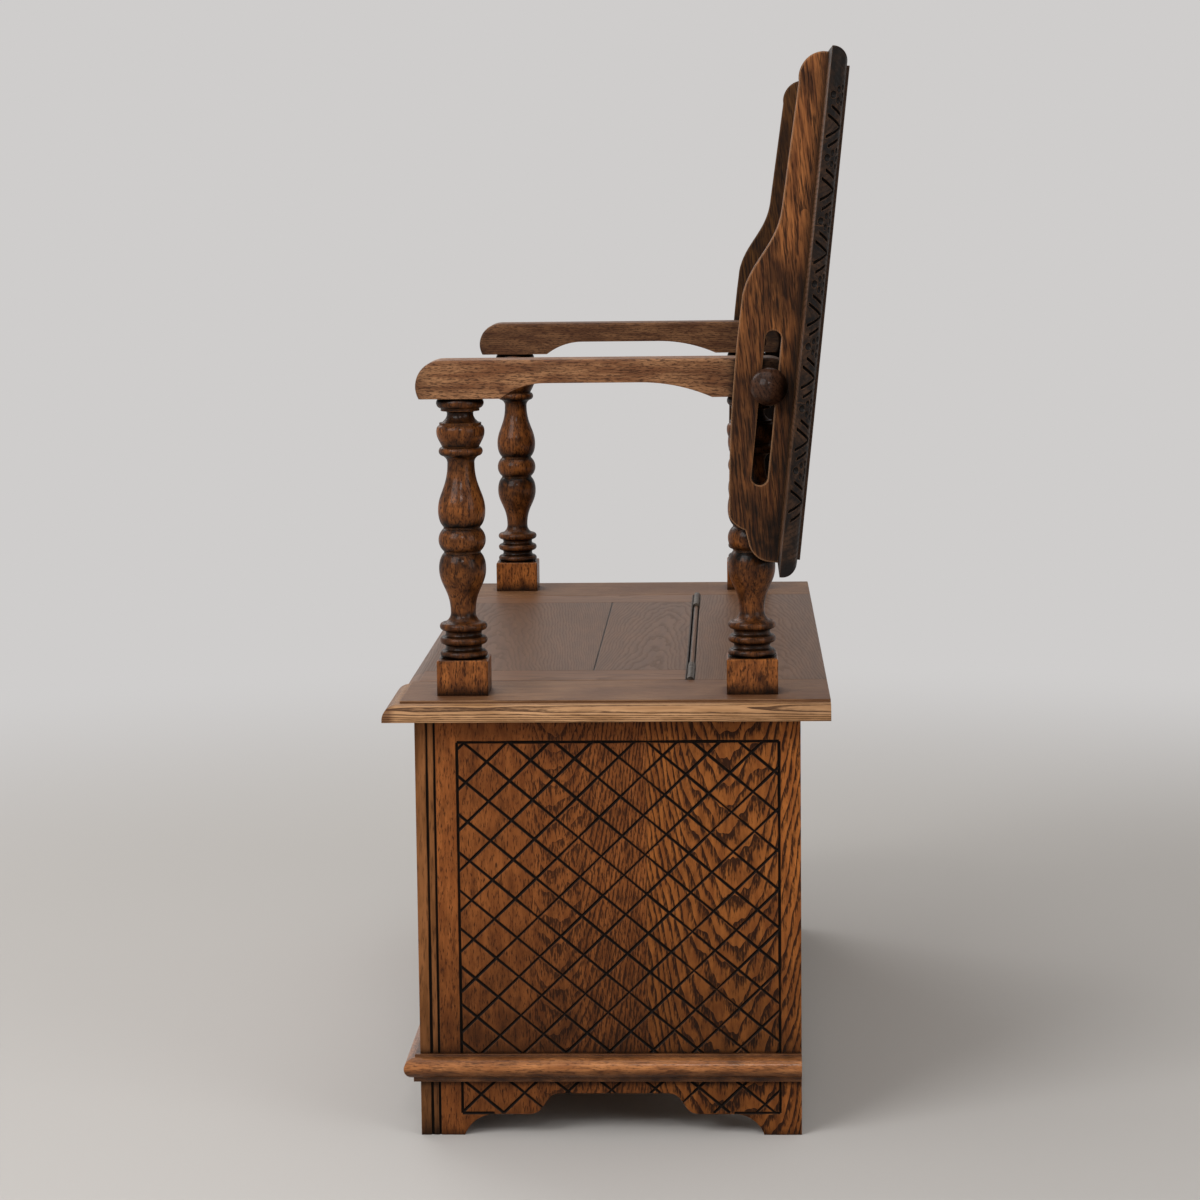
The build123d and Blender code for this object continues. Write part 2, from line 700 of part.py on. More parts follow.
# Turned posts: one outline, revolved on each square block
with BuildSketch(Plane.XY) as turning:
    belly_z = lower_neck_top + lower_vase_belly
    upper_belly_z = upper_vase_bottom + upper_vase_belly
    scotia_neck_z = scotia_top - scotia_quick_height
    cup_belly_z = cup_top - cup_lip_height
    with BuildLine():
        Line((0, 0), (ring_foot_radius, 0))
        for ring in range(ring_count):
            low = ring * (ring_height + ring_cove_height)
            high = low + ring_height
            ThreePointArc((ring_foot_radius, low), (ring_radius, (low + high) / 2), (ring_foot_radius, high))
            if ring < ring_count - 1:
                ThreePointArc((ring_foot_radius, high), (ring_cove_radius, high + ring_cove_height / 2),
                              (ring_foot_radius, high + ring_cove_height))
        Line((ring_foot_radius, ring_stack_height), (flare_radius, ring_stack_height))
        TangentArc((lower_neck_radius, lower_neck_top), (flare_radius, ring_stack_height), tangent=(0, -1))
        Spline((lower_neck_radius, lower_neck_top), (lower_vase_radius, belly_z),
               (shoulder_radius, lower_vase_top), tangents=[(0, 1), (-1, 1)])
        Line((shoulder_radius, lower_vase_top), (shoulder_radius, bead_bottom))
        ThreePointArc((shoulder_radius, bead_bottom), (bead_radius, (bead_bottom + bead_top) / 2),
                      (shoulder_radius, bead_top))
        Line((shoulder_radius, bead_top), (shoulder_radius, upper_vase_bottom))
        Spline((shoulder_radius, upper_vase_bottom), (upper_vase_radius, upper_belly_z),
               (upper_neck_radius, upper_vase_top), tangents=[(1, 1), (0, 1)])
        TangentArc((upper_neck_radius, upper_vase_top), (cup_foot_radius, collar_bottom), tangent=(0, 1))
        ThreePointArc((cup_foot_radius, collar_bottom), (collar_radius, (collar_bottom + cup_bottom) / 2),
                      (cup_foot_radius, cup_bottom))
        Spline((cup_foot_radius, cup_bottom), (cup_radius, cup_belly_z), (cup_lip_radius, cup_top),
               tangents=[(1, 2), (-1, 0.4)])
        Line((cup_lip_radius, cup_top), (cup_lip_radius, scotia_bottom))
        Line((cup_lip_radius, scotia_bottom), (scotia_foot_radius, scotia_bottom))
        Spline((scotia_foot_radius, scotia_bottom), (scotia_neck_radius, scotia_neck_z),
               tangents=[(-1, 1), (0, 1)])
        Spline((scotia_neck_radius, scotia_neck_z), (scotia_top_radius, scotia_top),
               tangents=[(0, 1), (1, 0.3)])
        Line((scotia_top_radius, scotia_top), (scotia_top_radius, capital_bottom))
        ThreePointArc((scotia_top_radius, capital_bottom),
                      (capital_radius, capital_bottom + capital_height / 2),
                      (capital_top_radius, turning_height))
        Polyline((capital_top_radius, turning_height), (0, turning_height), (0, 0))
    make_face()

for depth_name, post_y in (("front", post_front_y), ("rear", post_rear_y)):
    with BuildPart() as post:
        with BuildSketch(Plane((post_x, post_y, seat_height))):
            Rectangle(block_size, block_size)
        extrude(amount=block_height)
        levels = post.edges().group_by(Axis.Z)
        chamfer(levels[1] + levels[2], block_arris)
        with BuildSketch(Plane((post_x, post_y, block_top), x_dir=(1, 0, 0), z_dir=(0, -1, 0))):
            add(turning.sketch)
        revolve(axis=Axis((post_x, post_y, 0), (0, 0, 1)))
        with BuildSketch(Plane((post_x, post_y, seat_bottom))):
            Circle(tenon_radius)
        extrude(amount=seat_thickness)
        with BuildSketch(Plane((post_x, post_y, arm_bottom))):
            Circle(arm_tenon_radius)
        extrude(amount=arm_tenon_length)
    save_pair(post, f"post_{depth_name}")

# Arms: a round nose, a shallow arch underneath and a round rear end about the peg
arm_nose_radius = pin_drop
arm_nose_y = seat_front + arm_nose_setback + arm_nose_radius
arch_front_y = seat_front + arm_arch_front
arch_rear_y = arch_front_y + arm_arch_length
arch_top = arm_bottom + arm_arch_rise
nose_chord = sqrt(arm_nose_radius ** 2 - (pin_z - arm_bottom) ** 2)
with BuildPart() as arm:
    with BuildSketch(Plane.YZ.offset(arm_inner_x)):
        with BuildLine():
            Line((arm_nose_y, arm_top), (pin_y, arm_top))
            ThreePointArc((pin_y, arm_top), (pin_y + arm_nose_radius, pin_z),
                          (pin_y + nose_chord, arm_bottom))
            Line((pin_y + nose_chord, arm_bottom), (arch_rear_y, arm_bottom))
            TangentArc((arch_rear_y - arm_arch_rear_run, arch_top), (arch_rear_y, arm_bottom),
                       tangent=(1, 0))
            Line((arch_rear_y - arm_arch_rear_run, arch_top), (arch_front_y + arm_arch_front_run, arch_top))
            TangentArc((arch_front_y + arm_arch_front_run, arch_top), (arch_front_y, arm_bottom),
                       tangent=(-1, 0))
            Line((arch_front_y, arm_bottom), (arm_nose_y - nose_chord, arm_bottom))
            ThreePointArc((arm_nose_y - nose_chord, arm_bottom), (arm_nose_y - arm_nose_radius, pin_z),
                          (arm_nose_y, arm_top))
        make_face()
    extrude(amount=arm_width)
    top_face = arm.faces().filter_by(Plane.XY).sort_by(Axis.Z)[-1]
    fillet(top_face.edges().filter_by(Axis.Y), arm_edge_round)
    with Locations((post_x, post_front_y, arm_bottom), (post_x, post_rear_y, arm_bottom)):
        Cylinder(arm_tenon_radius + socket_gap, 2 * (arm_tenon_length + socket_gap), mode=Mode.SUBTRACT)
    with Locations((post_x, pin_y, pin_z)):
        Cylinder(peg_radius + peg_bore_gap, 2 * arm_width, rotation=(0, 90, 0), mode=Mode.SUBTRACT)
save_pair(arm, "arm")

# Pivot pegs, turned in one with their ball heads outside the cleats
peg_inner_x = arm_inner_x + peg_inner_gap
collar_x = cleat_outer_x + peg_collar_gap
neck_x = collar_x + peg_collar_thickness
ball_start_x = neck_x + peg_neck_length
ball_middle_x = ball_start_x + sqrt(ball_radius ** 2 - peg_neck_radius ** 2)
with BuildPart() as pivot_peg:
    with BuildSketch(Plane((0, pin_y, pin_z), x_dir=(1, 0, 0), z_dir=(0, -1, 0))):
        with BuildLine():
            Polyline((peg_inner_x, 0), (peg_inner_x, peg_radius), (collar_x, peg_radius),
                     (collar_x, peg_collar_radius), (neck_x, peg_collar_radius), (neck_x, peg_neck_radius),
                     (ball_start_x, peg_neck_radius))
            ThreePointArc((ball_start_x, peg_neck_radius), (ball_middle_x, ball_radius),
                          (ball_middle_x + ball_radius, 0))
            Line((ball_middle_x + ball_radius, 0), (peg_inner_x, 0))
        make_face()
    revolve(axis=Axis((0, pin_y, pin_z), (1, 0, 0)))
save_pair(pivot_peg, "pivot_peg")

# Table top: boards edge to edge, with the moulding worked round all four sides
table_face_depth = pin_depth + table_thickness
table_section = moulded_section(-table_below_pin, table_above_pin, pin_depth, table_face_depth)
table_end_section = moulded_section(-table_length / 2, table_length / 2, pin_depth, table_face_depth)
table_board_width = (table_above_pin + table_below_pin) / table_board_count
cleat_low = cleat_end_inset - table_below_pin
cleat_high = table_above_pin - cleat_end_inset
cleat_screw_spots = [cleat_low + cleat_screw_inset, slot_above_pin + cleat_screw_slot_margin,
                     cleat_high - 3 * cleat_screw_inset, cleat_high - cleat_screw_inset]


def across_cleats(radius, first, last, mode=Mode.ADD):
    """Round rods or holes at every cleat screw, between two heights above the underside of the top."""
    for along in cleat_screw_spots:
        for side in (-1, 1):
            height = pin_depth - (first + last) / 2
            spot = back_side.from_local_coords(Vector(along, height, -side * cleat_middle_x))
            with Locations(Plane(spot, x_dir=(1, 0, 0), z_dir=back_side.y_dir)):
                Cylinder(radius, last - first, mode=mode)


for index, name in enumerate(("lower", "middle", "upper")):
    low_s = index * table_board_width - table_below_pin
    with BuildPart() as table_board:
        with BuildSketch(back_side):
            add(table_section)
            with Locations((low_s + table_board_width / 2, table_face_depth)):
                Rectangle(table_board_width, 2 * table_face_depth, mode=Mode.INTERSECT)
        extrude(amount=table_length / 2, both=True)
        with BuildSketch(back_end):
            add(table_end_section)
        extrude(amount=2 * table_above_pin, both=True, mode=Mode.INTERSECT)
        across_cleats(cleat_screw_radius + screw_hole_gap, -cleat_screw_bite - screw_hole_gap, 0,
                      Mode.SUBTRACT)
    save(table_board, f"table_board_{name}")

# Cleats: a stepped tail, a deep belly round the slot, a swept waist and a round nose;
# the outline runs along the cleat and down from the underside of the top
tail_end = cleat_low + cleat_tail_length
belly_start = tail_end + cleat_tail_cusp
belly_end = slot_above_pin + cleat_belly_margin
sweep_end = belly_end + cleat_sweep_run
nose_start = cleat_high - cleat_nose_run


def below(along, depth):
    """A point of the cleat outline, measured down from the underside of the top."""
    return (along, pin_depth - depth)


with BuildPart() as cleat:
    with BuildSketch(back_side.offset(-cleat_inner_x)):
        with BuildLine():
            Line(below(cleat_low, 0), below(cleat_low, cleat_tail_lip))
            tail = TangentArc(below(cleat_low, cleat_tail_lip),
                              below(cleat_low + cleat_tail_round, cleat_tail_depth), tangent=(0, -1))
            rise = Line(tail @ 1, below(tail_end, cleat_tail_depth + cleat_tail_fall))
            cusp = TangentArc(below(belly_start, cleat_belly_start_depth), rise @ 1, tangent=(-1, 0.6))
            belly = ThreePointArc(below(belly_start, cleat_belly_start_depth),
                                  below(0, cleat_belly_depth), below(belly_end, cleat_belly_end_depth))
            sweep = Spline(belly @ 1, below(sweep_end, cleat_waist_depth), tangents=[(1, 0.12), (1, 0.06)])
            waist = Line(sweep @ 1, below(nose_start, cleat_nose_depth))
            ThreePointArc(waist @ 1, below(nose_start + cleat_nose_shoulder, cleat_nose_shoulder_depth),
                          below(cleat_high, cleat_nose_lip))
            Line(below(cleat_high, cleat_nose_lip), below(cleat_high, 0))
            Line(below(cleat_high, 0), below(cleat_low, 0))
        make_face()
        slot_length = slot_above_pin + slot_below_pin
        with Locations(((slot_above_pin - slot_below_pin) / 2, 0)):
            SlotCenterToCenter(slot_length, 2 * (peg_radius + slot_gap), mode=Mode.SUBTRACT)
    extrude(amount=-cleat_thickness)
    across_cleats(cleat_screw_radius + screw_hole_gap, 0, cleat_screw_seat, Mode.SUBTRACT)
    across_cleats(cleat_screw_head_radius + screw_hole_gap, cleat_screw_seat, 2 * cleat_belly_depth,
                  Mode.SUBTRACT)
save_pair(cleat, "cleat")

with BuildPart() as cleat_screws:
    across_cleats(cleat_screw_radius, -cleat_screw_bite, cleat_screw_seat)
    across_cleats(cleat_screw_head_radius, cleat_screw_seat, cleat_screw_seat + cleat_screw_head_height)
save(cleat_screws, "cleat_screws")
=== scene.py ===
# %% [markdown]
# # Monks bench
# An oak box settle whose back tilts over on two pegs and becomes a table top. The joinery comes
# ready made as solid pieces. This lesson gives each piece its timber, its polish and its years of
# wear, carves the edge of the table top, and sets up the camera and the light.

# %% Load the joinery
import math

import bpy
from mathutils import Euler, Matrix, Vector


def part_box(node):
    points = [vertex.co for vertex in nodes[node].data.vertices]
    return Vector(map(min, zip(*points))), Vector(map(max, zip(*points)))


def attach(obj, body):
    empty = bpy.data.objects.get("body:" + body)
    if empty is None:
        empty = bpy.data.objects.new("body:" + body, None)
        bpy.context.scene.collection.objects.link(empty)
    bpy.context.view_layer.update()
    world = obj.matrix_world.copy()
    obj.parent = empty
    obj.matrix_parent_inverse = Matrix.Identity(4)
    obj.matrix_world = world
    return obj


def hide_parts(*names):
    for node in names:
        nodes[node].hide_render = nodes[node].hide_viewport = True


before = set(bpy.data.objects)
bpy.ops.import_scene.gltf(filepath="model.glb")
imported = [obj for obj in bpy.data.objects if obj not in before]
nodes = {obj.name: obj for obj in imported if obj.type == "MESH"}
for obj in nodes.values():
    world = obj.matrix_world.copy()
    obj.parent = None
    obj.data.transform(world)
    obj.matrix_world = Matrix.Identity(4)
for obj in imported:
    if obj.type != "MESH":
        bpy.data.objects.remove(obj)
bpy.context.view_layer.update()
MM = 0.001
print("pieces:", len(nodes))

# %% [markdown]
# ## Colours and nodes
# Colours are written as sRGB hex values, the way a colour chart gives them, and Blender wants
# linear light. One function does that sum. A second adds a shader node with its settings and
# links, so that a material reads as a list of what feeds what.

# %% Colour and node helpers


def colour(code):
    """Linear RGBA of an sRGB hex colour."""
    channels = [int(code[i:i + 2], 16) / 255 for i in (1, 3, 5)]
    linear = [c / 12.92 if c <= 0.04045 else ((c + 0.055) / 1.055) ** 2.4 for c in channels]
    return (*linear, 1.0)


def add(tree, kind, inputs=None, **settings):
    """Add one node: settings are its own options, inputs are values or sockets to link from."""
    made = tree.nodes.new(kind)
    for name, value in settings.items():
        setattr(made, name, value)
    for key, value in (inputs or {}).items():
        if isinstance(value, bpy.types.NodeSocket):
            tree.links.new(value, made.inputs[key])
        else:
            made.inputs[key].default_value = value
    return made


def blank_material(name):
    """A new material with an empty tree, and the tree."""
    material = bpy.data.materials.new(name)
    material.use_nodes = True
    material.node_tree.nodes.clear()
    return material, material.node_tree


def set_stops(ramp, stops):
    """Give a colour ramp its stops: pairs of a place from 0 to 1 and a colour."""
    elements = ramp.color_ramp.elements
    while len(elements) < len(stops):
        elements.new(1.0)
    for element, (place, tone) in zip(elements, stops):
        element.position = place
        element.color = tone


# The sockets of a Mix node that blends colours
MIX_FACTOR, MIX_A, MIX_B, MIX_RESULT = 0, 6, 7, 2
print("mid grey in linear light:", round(colour("#808080")[0], 3))

# %% [markdown]
# ## Oak figure
# Oak is ring-porous: each year starts with a band of wide pores, which take the stain and look
# almost black, and ends with dense pale wood. A board is a slice of that log, so the figure is
# made the same way: rings are worked out from the distance to the pith, and the slice shows
# straight lines or arches by itself. A pore cut lengthwise shows as a short dark tick, so the dark
# of a ring is drawn as many ticks that crowd together, and not as a smooth band.

# %% Oak figure

FIBRE_TURN = {"Z": (0, 0, 0), "X": (0, -90, 0), "Y": (90, 0, 0)}
# Scale of the rings' wavering along the fibres, under 1 so that it is drawn out
WAVER_LONG = 0.22
# Share of a year's growth over which its pores thin out
EARLY_WOOD = 0.85
# Where the noise of the ground turns from pale to mid, and the soft edge of a patch of stain
PALE_AT, MID_AT = 0.36, 0.62
PATCH_EDGE = 0.18


def turned(angles):
    """Rotation matrix of three angles in degrees."""
    return Euler([math.radians(a) for a in angles]).to_matrix()


def oak_figure(tree, finish, fibre, pith, tilt):
    """Colour of a board and its ticks: fibres along an axis, the pith of the log through a point."""
    turn = turned(tilt) @ turned(FIBRE_TURN[fibre])
    coords = add(tree, "ShaderNodeTexCoord").outputs["Object"]
    board = add(tree, "ShaderNodeMapping", {
        "Vector": coords,
        "Location": -(turn @ Vector(pith)),
        "Rotation": turn.to_euler(),
    }).outputs["Vector"]
    drawn_out, fibres, blots = [
        add(tree, "ShaderNodeMapping", {"Vector": board, "Scale": (1, 1, along)}).outputs["Vector"]
        for along in (WAVER_LONG, finish["long"], finish["patch_long"])
    ]

    # Year rings, wavering as the tree grew
    wobble = add(tree, "ShaderNodeTexNoise", {
        "Vector": drawn_out,
        "Scale": 1 / (finish["wave_mm"] * MM),
        "Detail": 3.0,
        "Roughness": 0.55,
    }).outputs["Fac"]
    across = add(tree, "ShaderNodeVectorMath", {0: board, 1: (1, 1, 0)}, operation="MULTIPLY").outputs[0]
    radius = add(tree, "ShaderNodeVectorMath", {0: across}, operation="LENGTH").outputs["Value"]
    grown = add(tree, "ShaderNodeMath", {
        0: wobble,
        1: finish["waver_mm"] * MM,
        2: radius,
    }, operation="MULTIPLY_ADD").outputs[0]
    years = add(tree, "ShaderNodeMath", {
        0: grown,
        1: finish["ring_mm"] * MM,
    }, operation="DIVIDE").outputs[0]
    season = add(tree, "ShaderNodeMath", {0: years}, operation="FRACT").outputs[0]
    early = add(tree, "ShaderNodeMapRange", {
        "Value": season,
        "From Min": EARLY_WOOD,
        "From Max": 0.0,
        "To Max": finish["figure"],
    }, interpolation_type="SMOOTHSTEP").outputs["Result"]
    if "fade_y" in finish:
        plain_y, full_y = finish["fade_y"]
        depth = add(tree, "ShaderNodeSeparateXYZ", {"Vector": coords}).outputs["Y"]
        strength = add(tree, "ShaderNodeMapRange", {
            "Value": depth,
            "From Min": plain_y * MM,
            "From Max": full_y * MM,
        }, interpolation_type="SMOOTHSTEP").outputs["Result"]
        early = add(tree, "ShaderNodeMath", {0: early, 1: strength}, operation="MULTIPLY").outputs[0]

    # Pores, drawn several times as coarse as real ones so that they show at this size
    tick = add(tree, "ShaderNodeTexNoise", {
        "Vector": fibres,
        "Scale": 1 / (finish["tick_mm"] * MM),
        "Detail": 2.0,
        "Roughness": 0.6,
    }).outputs["Fac"]
    ink = add(tree, "ShaderNodeMath", {
        0: tick,
        1: finish["share"],
        2: early,
    }, operation="MULTIPLY_ADD").outputs[0]
    pores = add(tree, "ShaderNodeMapRange", {
        "Value": ink,
        "From Min": finish["open"],
        "From Max": finish["open"] + finish["soft"],
        "To Max": finish["pores"],
    }).outputs["Result"]

    # The ground between the pores: streaks of paler and redder wood
    streak = add(tree, "ShaderNodeTexNoise", {
        "Vector": fibres,
        "Scale": 1 / (finish["streak_mm"] * MM),
        "Detail": 3.0,
        "Roughness": 0.6,
    }).outputs["Fac"]
    ground = add(tree, "ShaderNodeValToRGB", {"Fac": streak})
    set_stops(ground, [(PALE_AT, colour(finish["pale"])), (MID_AT, colour(finish["mid"]))])
    grained = add(tree, "ShaderNodeMix", {
        MIX_FACTOR: pores,
        MIX_A: ground.outputs["Color"],
        MIX_B: colour(finish["dark"]),
    }, data_type="RGBA").outputs[MIX_RESULT]

    # Stain that took unevenly, in patches
    patch = add(tree, "ShaderNodeTexNoise", {
        "Vector": blots,
        "Scale": 1 / (finish["patch_mm"] * MM),
        "Detail": 4.0,
        "Roughness": 0.65,
    }).outputs["Fac"]
    patchy = add(tree, "ShaderNodeMapRange", {
        "Value": patch,
        "From Min": finish["patch_at"],
        "From Max": finish["patch_at"] + PATCH_EDGE,
        "To Max": finish["patchy"],
    }).outputs["Result"]
    stained = add(tree, "ShaderNodeMix", {
        MIX_FACTOR: patchy,
        MIX_A: grained,
        MIX_B: colour(finish["dark"]),
    }, data_type="RGBA").outputs[MIX_RESULT]
    return coords, stained, pores


# %% [markdown]
# ## Polish, wear and painted light
# Wax and dirt gather where a cloth can't reach, and hands rub the arrises bare. Ambient occlusion
# finds the first and darkens it further with painted shade, and a bevel normal finds the second and
# lightens it with a painted highlight, so both follow the shape from every side.
# The bevel normal also eases the light over edges that a plane iron would have left soft.

# %% Oak material
OAK_IOR = 1.5
# Pores are duller by this much, and drawn this deep
PORE_DULLNESS = 0.18
PORE_RELIEF = 0.3
PORE_MM = 0.4
# Between these values of a noise, the dirt and painted shade go from their thinnest to their thickest
BLOTCH_FROM, BLOTCH_TO = 0.35, 0.65
THIN, THICK = 0.72, 1.2
# Cosines of the bevel's turn where an arris starts to be bare with a painted highlight, and where it is
# fully so
ARRIS_FROM, ARRIS_TO = 0.985, 0.80
# Incised lines: their depth with some to spare, and the length over which their wax varies
CUT_DEPTH = 1.8 * MM
CUT_VARIES_MM = 55
# Noise at which wax is scant and ample, the depth below the face that it starts at, and its edge
SCANT_AT, AMPLE_AT = 0.36, 0.58
SCANT_MM, AMPLE_MM = 0.75, 0.05
WAX_EDGE_MM = 0.2
CUT_BLACK = 0.97


def oak(name, finish, fibre, pith, tilt):
    """Waxed oak for one board: figure, dark wax and painted shade in the recesses, bare arrises with a
    painted highlight, satin polish.
    """
    material, tree = blank_material(name)
    coords, figure, pores = oak_figure(tree, finish, fibre, pith, tilt)

    # Black wax and painted shade in the recesses
    open_air = add(tree, "ShaderNodeAmbientOcclusion", {
        "Distance": finish["reach_mm"] * MM,
    }, samples=8).outputs["AO"]
    clear, choked = finish["recess"]
    recess = add(tree, "ShaderNodeMapRange", {
        "Value": open_air,
        "From Min": clear,
        "From Max": choked,
        "To Max": finish["grime_and_shade"],
    }).outputs["Result"]
    waxed_and_shaded = add(tree, "ShaderNodeMix", {
        MIX_FACTOR: recess,
        MIX_A: figure,
        MIX_B: colour(finish["wax_and_shade"]),
    }, data_type="RGBA").outputs[MIX_RESULT]

    place = add(tree, "ShaderNodeSeparateXYZ", {"Vector": coords}).outputs

    # Dirt and painted shade in zones along an axis of the bench, made uneven by a noise
    if finish["soot_and_shade"]:
        blotches = add(tree, "ShaderNodeTexNoise", {
            "Vector": coords,
            "Scale": 1 / (finish["blotch_mm"] * MM),
            "Detail": 3.0,
        }).outputs["Fac"]
        thickness = add(tree, "ShaderNodeMapRange", {
            "Value": blotches,
            "From Min": BLOTCH_FROM,
            "From Max": BLOTCH_TO,
            "To Min": THIN,
            "To Max": THICK,
        }).outputs["Result"]
    for axis, zones in finish["soot_and_shade"]:
        first_mm, last_mm = zones[0][0], zones[-1][0]
        span = add(tree, "ShaderNodeMapRange", {
            "Value": place[axis],
            "From Min": first_mm * MM,
            "From Max": last_mm * MM,
        }).outputs["Result"]
        dirt_and_shade = add(tree, "ShaderNodeValToRGB", {"Fac": span})
        set_stops(dirt_and_shade, [
            ((spot_mm - first_mm) / (last_mm - first_mm), (amount, amount, amount, 1))
            for spot_mm, amount in zones
        ])
        dirt_and_shade_cover = add(tree, "ShaderNodeMath", {
            0: dirt_and_shade.outputs["Color"],
            1: thickness,
        }, operation="MULTIPLY", use_clamp=True).outputs[0]
        waxed_and_shaded = add(tree, "ShaderNodeMix", {
            MIX_FACTOR: dirt_and_shade_cover,
            MIX_A: waxed_and_shaded,
            MIX_B: colour(finish["wax_and_shade"]),
        }, data_type="RGBA").outputs[MIX_RESULT]

    # Bare arrises, with a painted highlight
    soft = add(tree, "ShaderNodeBevel", {"Radius": finish["ease_mm"] * MM}, samples=4).outputs["Normal"]
    flat = add(tree, "ShaderNodeNewGeometry").outputs["Normal"]
    facing = add(tree, "ShaderNodeVectorMath", {0: soft, 1: flat}, operation="DOT_PRODUCT").outputs["Value"]
    rubbed_and_lit = add(tree, "ShaderNodeMapRange", {
        "Value": facing,
        "From Min": ARRIS_FROM,
        "From Max": ARRIS_TO,
        "To Max": finish["rub_and_highlight"],
    }).outputs["Result"]
    clear_rub_and_highlight = add(tree, "ShaderNodeMath", {0: rubbed_and_lit, 1: open_air}, operation="MULTIPLY").outputs[0]
    worn_and_lit = add(tree, "ShaderNodeMix", {
        MIX_FACTOR: clear_rub_and_highlight,
        MIX_A: waxed_and_shaded,
        MIX_B: colour(finish["bare_and_highlight"]),
    }, data_type="RGBA").outputs[MIX_RESULT]

    # Incised work: its ground holds some wax inside the border, and its lines more or less of it
    if "cut_face" in finish:
        first_y, last_y = finish["ground_y"]
        past_first = add(tree, "ShaderNodeMath", {
            0: place["Y"],
            1: first_y,
        }, operation="GREATER_THAN").outputs[0]
        before_last = add(tree, "ShaderNodeMath", {
            0: place["Y"],
            1: last_y,
        }, operation="LESS_THAN").outputs[0]
        inside_border = add(tree, "ShaderNodeMath", {
            0: past_first,
            1: before_last,
        }, operation="MULTIPLY").outputs[0]
        film = add(tree, "ShaderNodeMath", {
            0: inside_border,
            1: finish["film"],
        }, operation="MULTIPLY").outputs[0]
        grounded = add(tree, "ShaderNodeMix", {
            MIX_FACTOR: film,
            MIX_A: worn_and_lit,
            MIX_B: colour(finish["wax_and_shade"]),
        }, data_type="RGBA").outputs[MIX_RESULT]
        outward = add(tree, "ShaderNodeMath", {0: place["X"]}, operation="ABSOLUTE").outputs[0]
        depth = add(tree, "ShaderNodeMath", {
            0: finish["cut_face"],
            1: outward,
        }, operation="SUBTRACT").outputs[0]
        uneven = add(tree, "ShaderNodeTexNoise", {
            "Vector": coords,
            "Scale": 1 / (CUT_VARIES_MM * MM),
        }).outputs["Fac"]
        wax_level = add(tree, "ShaderNodeMapRange", {
            "Value": uneven,
            "From Min": SCANT_AT,
            "From Max": AMPLE_AT,
            "To Min": SCANT_MM * MM,
            "To Max": AMPLE_MM * MM,
        }).outputs["Result"]
        full_level = add(tree, "ShaderNodeMath", {0: wax_level, 1: WAX_EDGE_MM * MM}).outputs[0]
        sunk = add(tree, "ShaderNodeMapRange", {
            "Value": depth,
            "From Min": wax_level,
            "From Max": full_level,
            "To Max": CUT_BLACK,
        }).outputs["Result"]
        near = add(tree, "ShaderNodeMath", {
            0: outward,
            1: finish["cut_face"] - CUT_DEPTH,
        }, operation="GREATER_THAN").outputs[0]
        cut = add(tree, "ShaderNodeMath", {0: sunk, 1: near}, operation="MULTIPLY").outputs[0]
        worn_and_lit = add(tree, "ShaderNodeMix", {
            MIX_FACTOR: cut,
            MIX_A: grounded,
            MIX_B: colour(finish["wax_and_shade"]),
        }, data_type="RGBA").outputs[MIX_RESULT]

    # Open pores are duller than the polish between them, and lie a little lower
    sheen = add(tree, "ShaderNodeMapRange", {
        "Value": pores,
        "To Min": finish["rough"],
        "To Max": finish["rough"] + PORE_DULLNESS,
    }).outputs["Result"]
    relief = add(tree, "ShaderNodeBump", {
        "Strength": PORE_RELIEF,
        "Distance": PORE_MM * MM,
        "Height": pores,
        "Normal": soft,
    }, invert=True).outputs["Normal"]
    shader = add(tree, "ShaderNodeBsdfPrincipled", {
        "Base Color": worn_and_lit,
        "Roughness": sheen,
        "IOR": OAK_IOR,
        "Specular IOR Level": finish["gloss"],
        "Normal": relief,
        "Coat Weight": finish["coat"],
        "Coat Roughness": finish["coat_rough"],
    })
    add(tree, "ShaderNodeOutputMaterial", {"Surface": shader.outputs["BSDF"]})
    return material


# %% [markdown]
# ## Finishes
# The same log gives very different pieces. The ends are flat-sawn and boldly figured, the posts
# are turned and shine, the seat has faded to a greyed brown where people sat, and the underside of
# the back is dark. Each finish lists its tones and the sizes of its figure in millimetres, and the
# later ones start from a plain board and say only what differs.
#
# - pale, mid and dark are the streaks of the ground and the pores, wax is dirt and painted shade, bare is a
#   rubbed edge and its painted highlight
# - ring, wave and waver shape the year rings, figure is their weight, and share is that of the ticks
# - tick and long size a pore, open and soft say where pores begin, and pores how dark they are
# - patchy is the strength of the uneven stain, with its size, stretch and level
# - reach, recess and grime place the wax and painted shade of the recesses, ease and rub the bare arrises
#   and their painted highlight
# - soot lists zones of dirt and painted shade along an axis, each a place in millimetres and an amount

# %% Finishes
end_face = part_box("end_board_front_right")[1].x
border_y = (-147.6 * MM, 151.2 * MM)
print("end boards face out at", round(end_face / MM, 1), "mm")

plain = {
    "pale": "#8f5a32", "mid": "#6f4223", "dark": "#2b170d", "wax_and_shade": "#0d0805", "bare_and_highlight": "#96623a",
    "ring_mm": 3.4, "wave_mm": 60, "waver_mm": 10, "tick_mm": 1.6, "long": 0.12, "share": 1.0,
    "figure": 0.2, "open": 0.60, "soft": 0.18, "pores": 0.7, "streak_mm": 7,
    "patchy": 0.35, "patch_mm": 40, "patch_long": 0.22, "patch_at": 0.5,
    "reach_mm": 9, "recess": (0.93, 0.42), "grime_and_shade": 0.92, "ease_mm": 1.2, "rub_and_highlight": 0.45,
    "rough": 0.45, "gloss": 0.15, "coat": 0.0, "coat_rough": 0.2, "soot_and_shade": [], "blotch_mm": 22,
}
